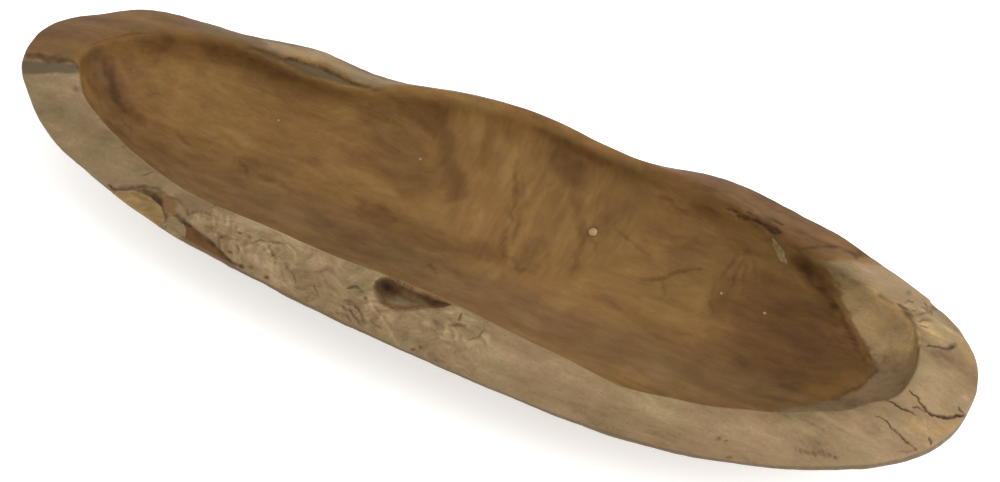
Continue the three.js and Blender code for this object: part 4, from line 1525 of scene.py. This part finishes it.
def add_edge_fill(tree, name, fill, material):
    """A fill that wraps the rim's outer edge, from a little down the hull to its reach across the top."""
    columns = EDGE_FILL_COLUMNS
    angles = np.linspace(fill.outline[0][0], fill.outline[-1][0], columns)
    reach = np.interp(angles, *np.transpose(fill.outline))
    inward = inward_at(angles)
    rows = edge_fill_rows(rim_edge(angles), inward, reach)
    top = np.empty((len(rows), columns, 3))
    for index, (places, directions) in enumerate(rows):
        for column in range(columns):
            border = index in (0, len(rows) - 1) or column in (0, columns - 1)
            lift = -EDGE_FILL_SINK if border else fill.proud
            direction = directions[column]
            top[index, column] = on_wood(tree, places[column], direction) + direction * lift
    foot = top + unit(inward - UP) * EDGE_FILL_DEPTH
    places = np.concatenate([top.reshape(-1, 3), foot.reshape(-1, 3)])
    mesh = closed_mesh(name, places, slab_faces(len(rows), columns))
    add_part(f"{name}_face", mesh, material, name)


def add_fills(tree):
    finishes = {name: fill_finish(name) for name in FILL_FINISHES}
    for name, fill in WALL_FILLS.items():
        add_wall_fill(tree, name, fill, finishes[fill.finish])
    for name, fill in EDGE_FILLS.items():
        add_edge_fill(tree, name, fill, finishes[fill.finish])


def add_camera():
    right, up, back = camera_axes()
    place = (np.array(TARGET) + back * DISTANCE) * MM
    data = bpy.data.cameras.new("camera")
    data.sensor_fit = "HORIZONTAL"
    data.angle = math.radians(FIELD_OF_VIEW)
    camera = bpy.data.objects.new("camera", data)
    columns = np.column_stack([right, up, back, place])
    camera.matrix_world = Matrix([*columns.tolist(), [0, 0, 0, 1]])
    bpy.context.scene.collection.objects.link(camera)
    bpy.context.scene.camera = camera


def add_floor():
    corners = [(FLOOR_REACH * x, FLOOR_REACH * y, 0) for x, y in ((-1, -1), (1, -1), (1, 1), (-1, 1))]
    mesh = bpy.data.meshes.new("floor")
    mesh.from_pydata(corners, [], [(0, 1, 2, 3)])
    paint = Finish("floor_white")
    paint.set("Base Color", (0.93, 0.93, 0.93, 1))
    paint.set("Emission Color", (1, 1, 1, 1))
    paint.set("Emission Strength", FLOOR_GLOW)
    paint.set("Roughness", 0.9)
    paint.set("Specular IOR Level", 0.1)
    add_piece("floor", mesh, paint.material)


def add_light():
    """A large soft lamp over the right end, and an even white sky."""
    data = bpy.data.lights.new("key", "AREA")
    data.energy = KEY_POWER
    data.size = KEY_SIZE
    lamp = bpy.data.objects.new("key", data)
    lamp.location = KEY_PLACE
    lamp.rotation_euler = (-Vector(KEY_PLACE)).to_track_quat("-Z", "Y").to_euler()
    bpy.context.scene.collection.objects.link(lamp)
    world = bpy.data.worlds.new("world")
    world.use_nodes = True
    sky = world.node_tree.nodes["Background"]
    sky.inputs["Color"].default_value = (1, 1, 1, 1)
    sky.inputs["Strength"].default_value = SKY_STRENGTH
    bpy.context.scene.world = world
    bpy.context.scene.view_settings.view_transform = "Standard"


add_camera()
add_fills(add_bowl())
add_floor()
add_light()
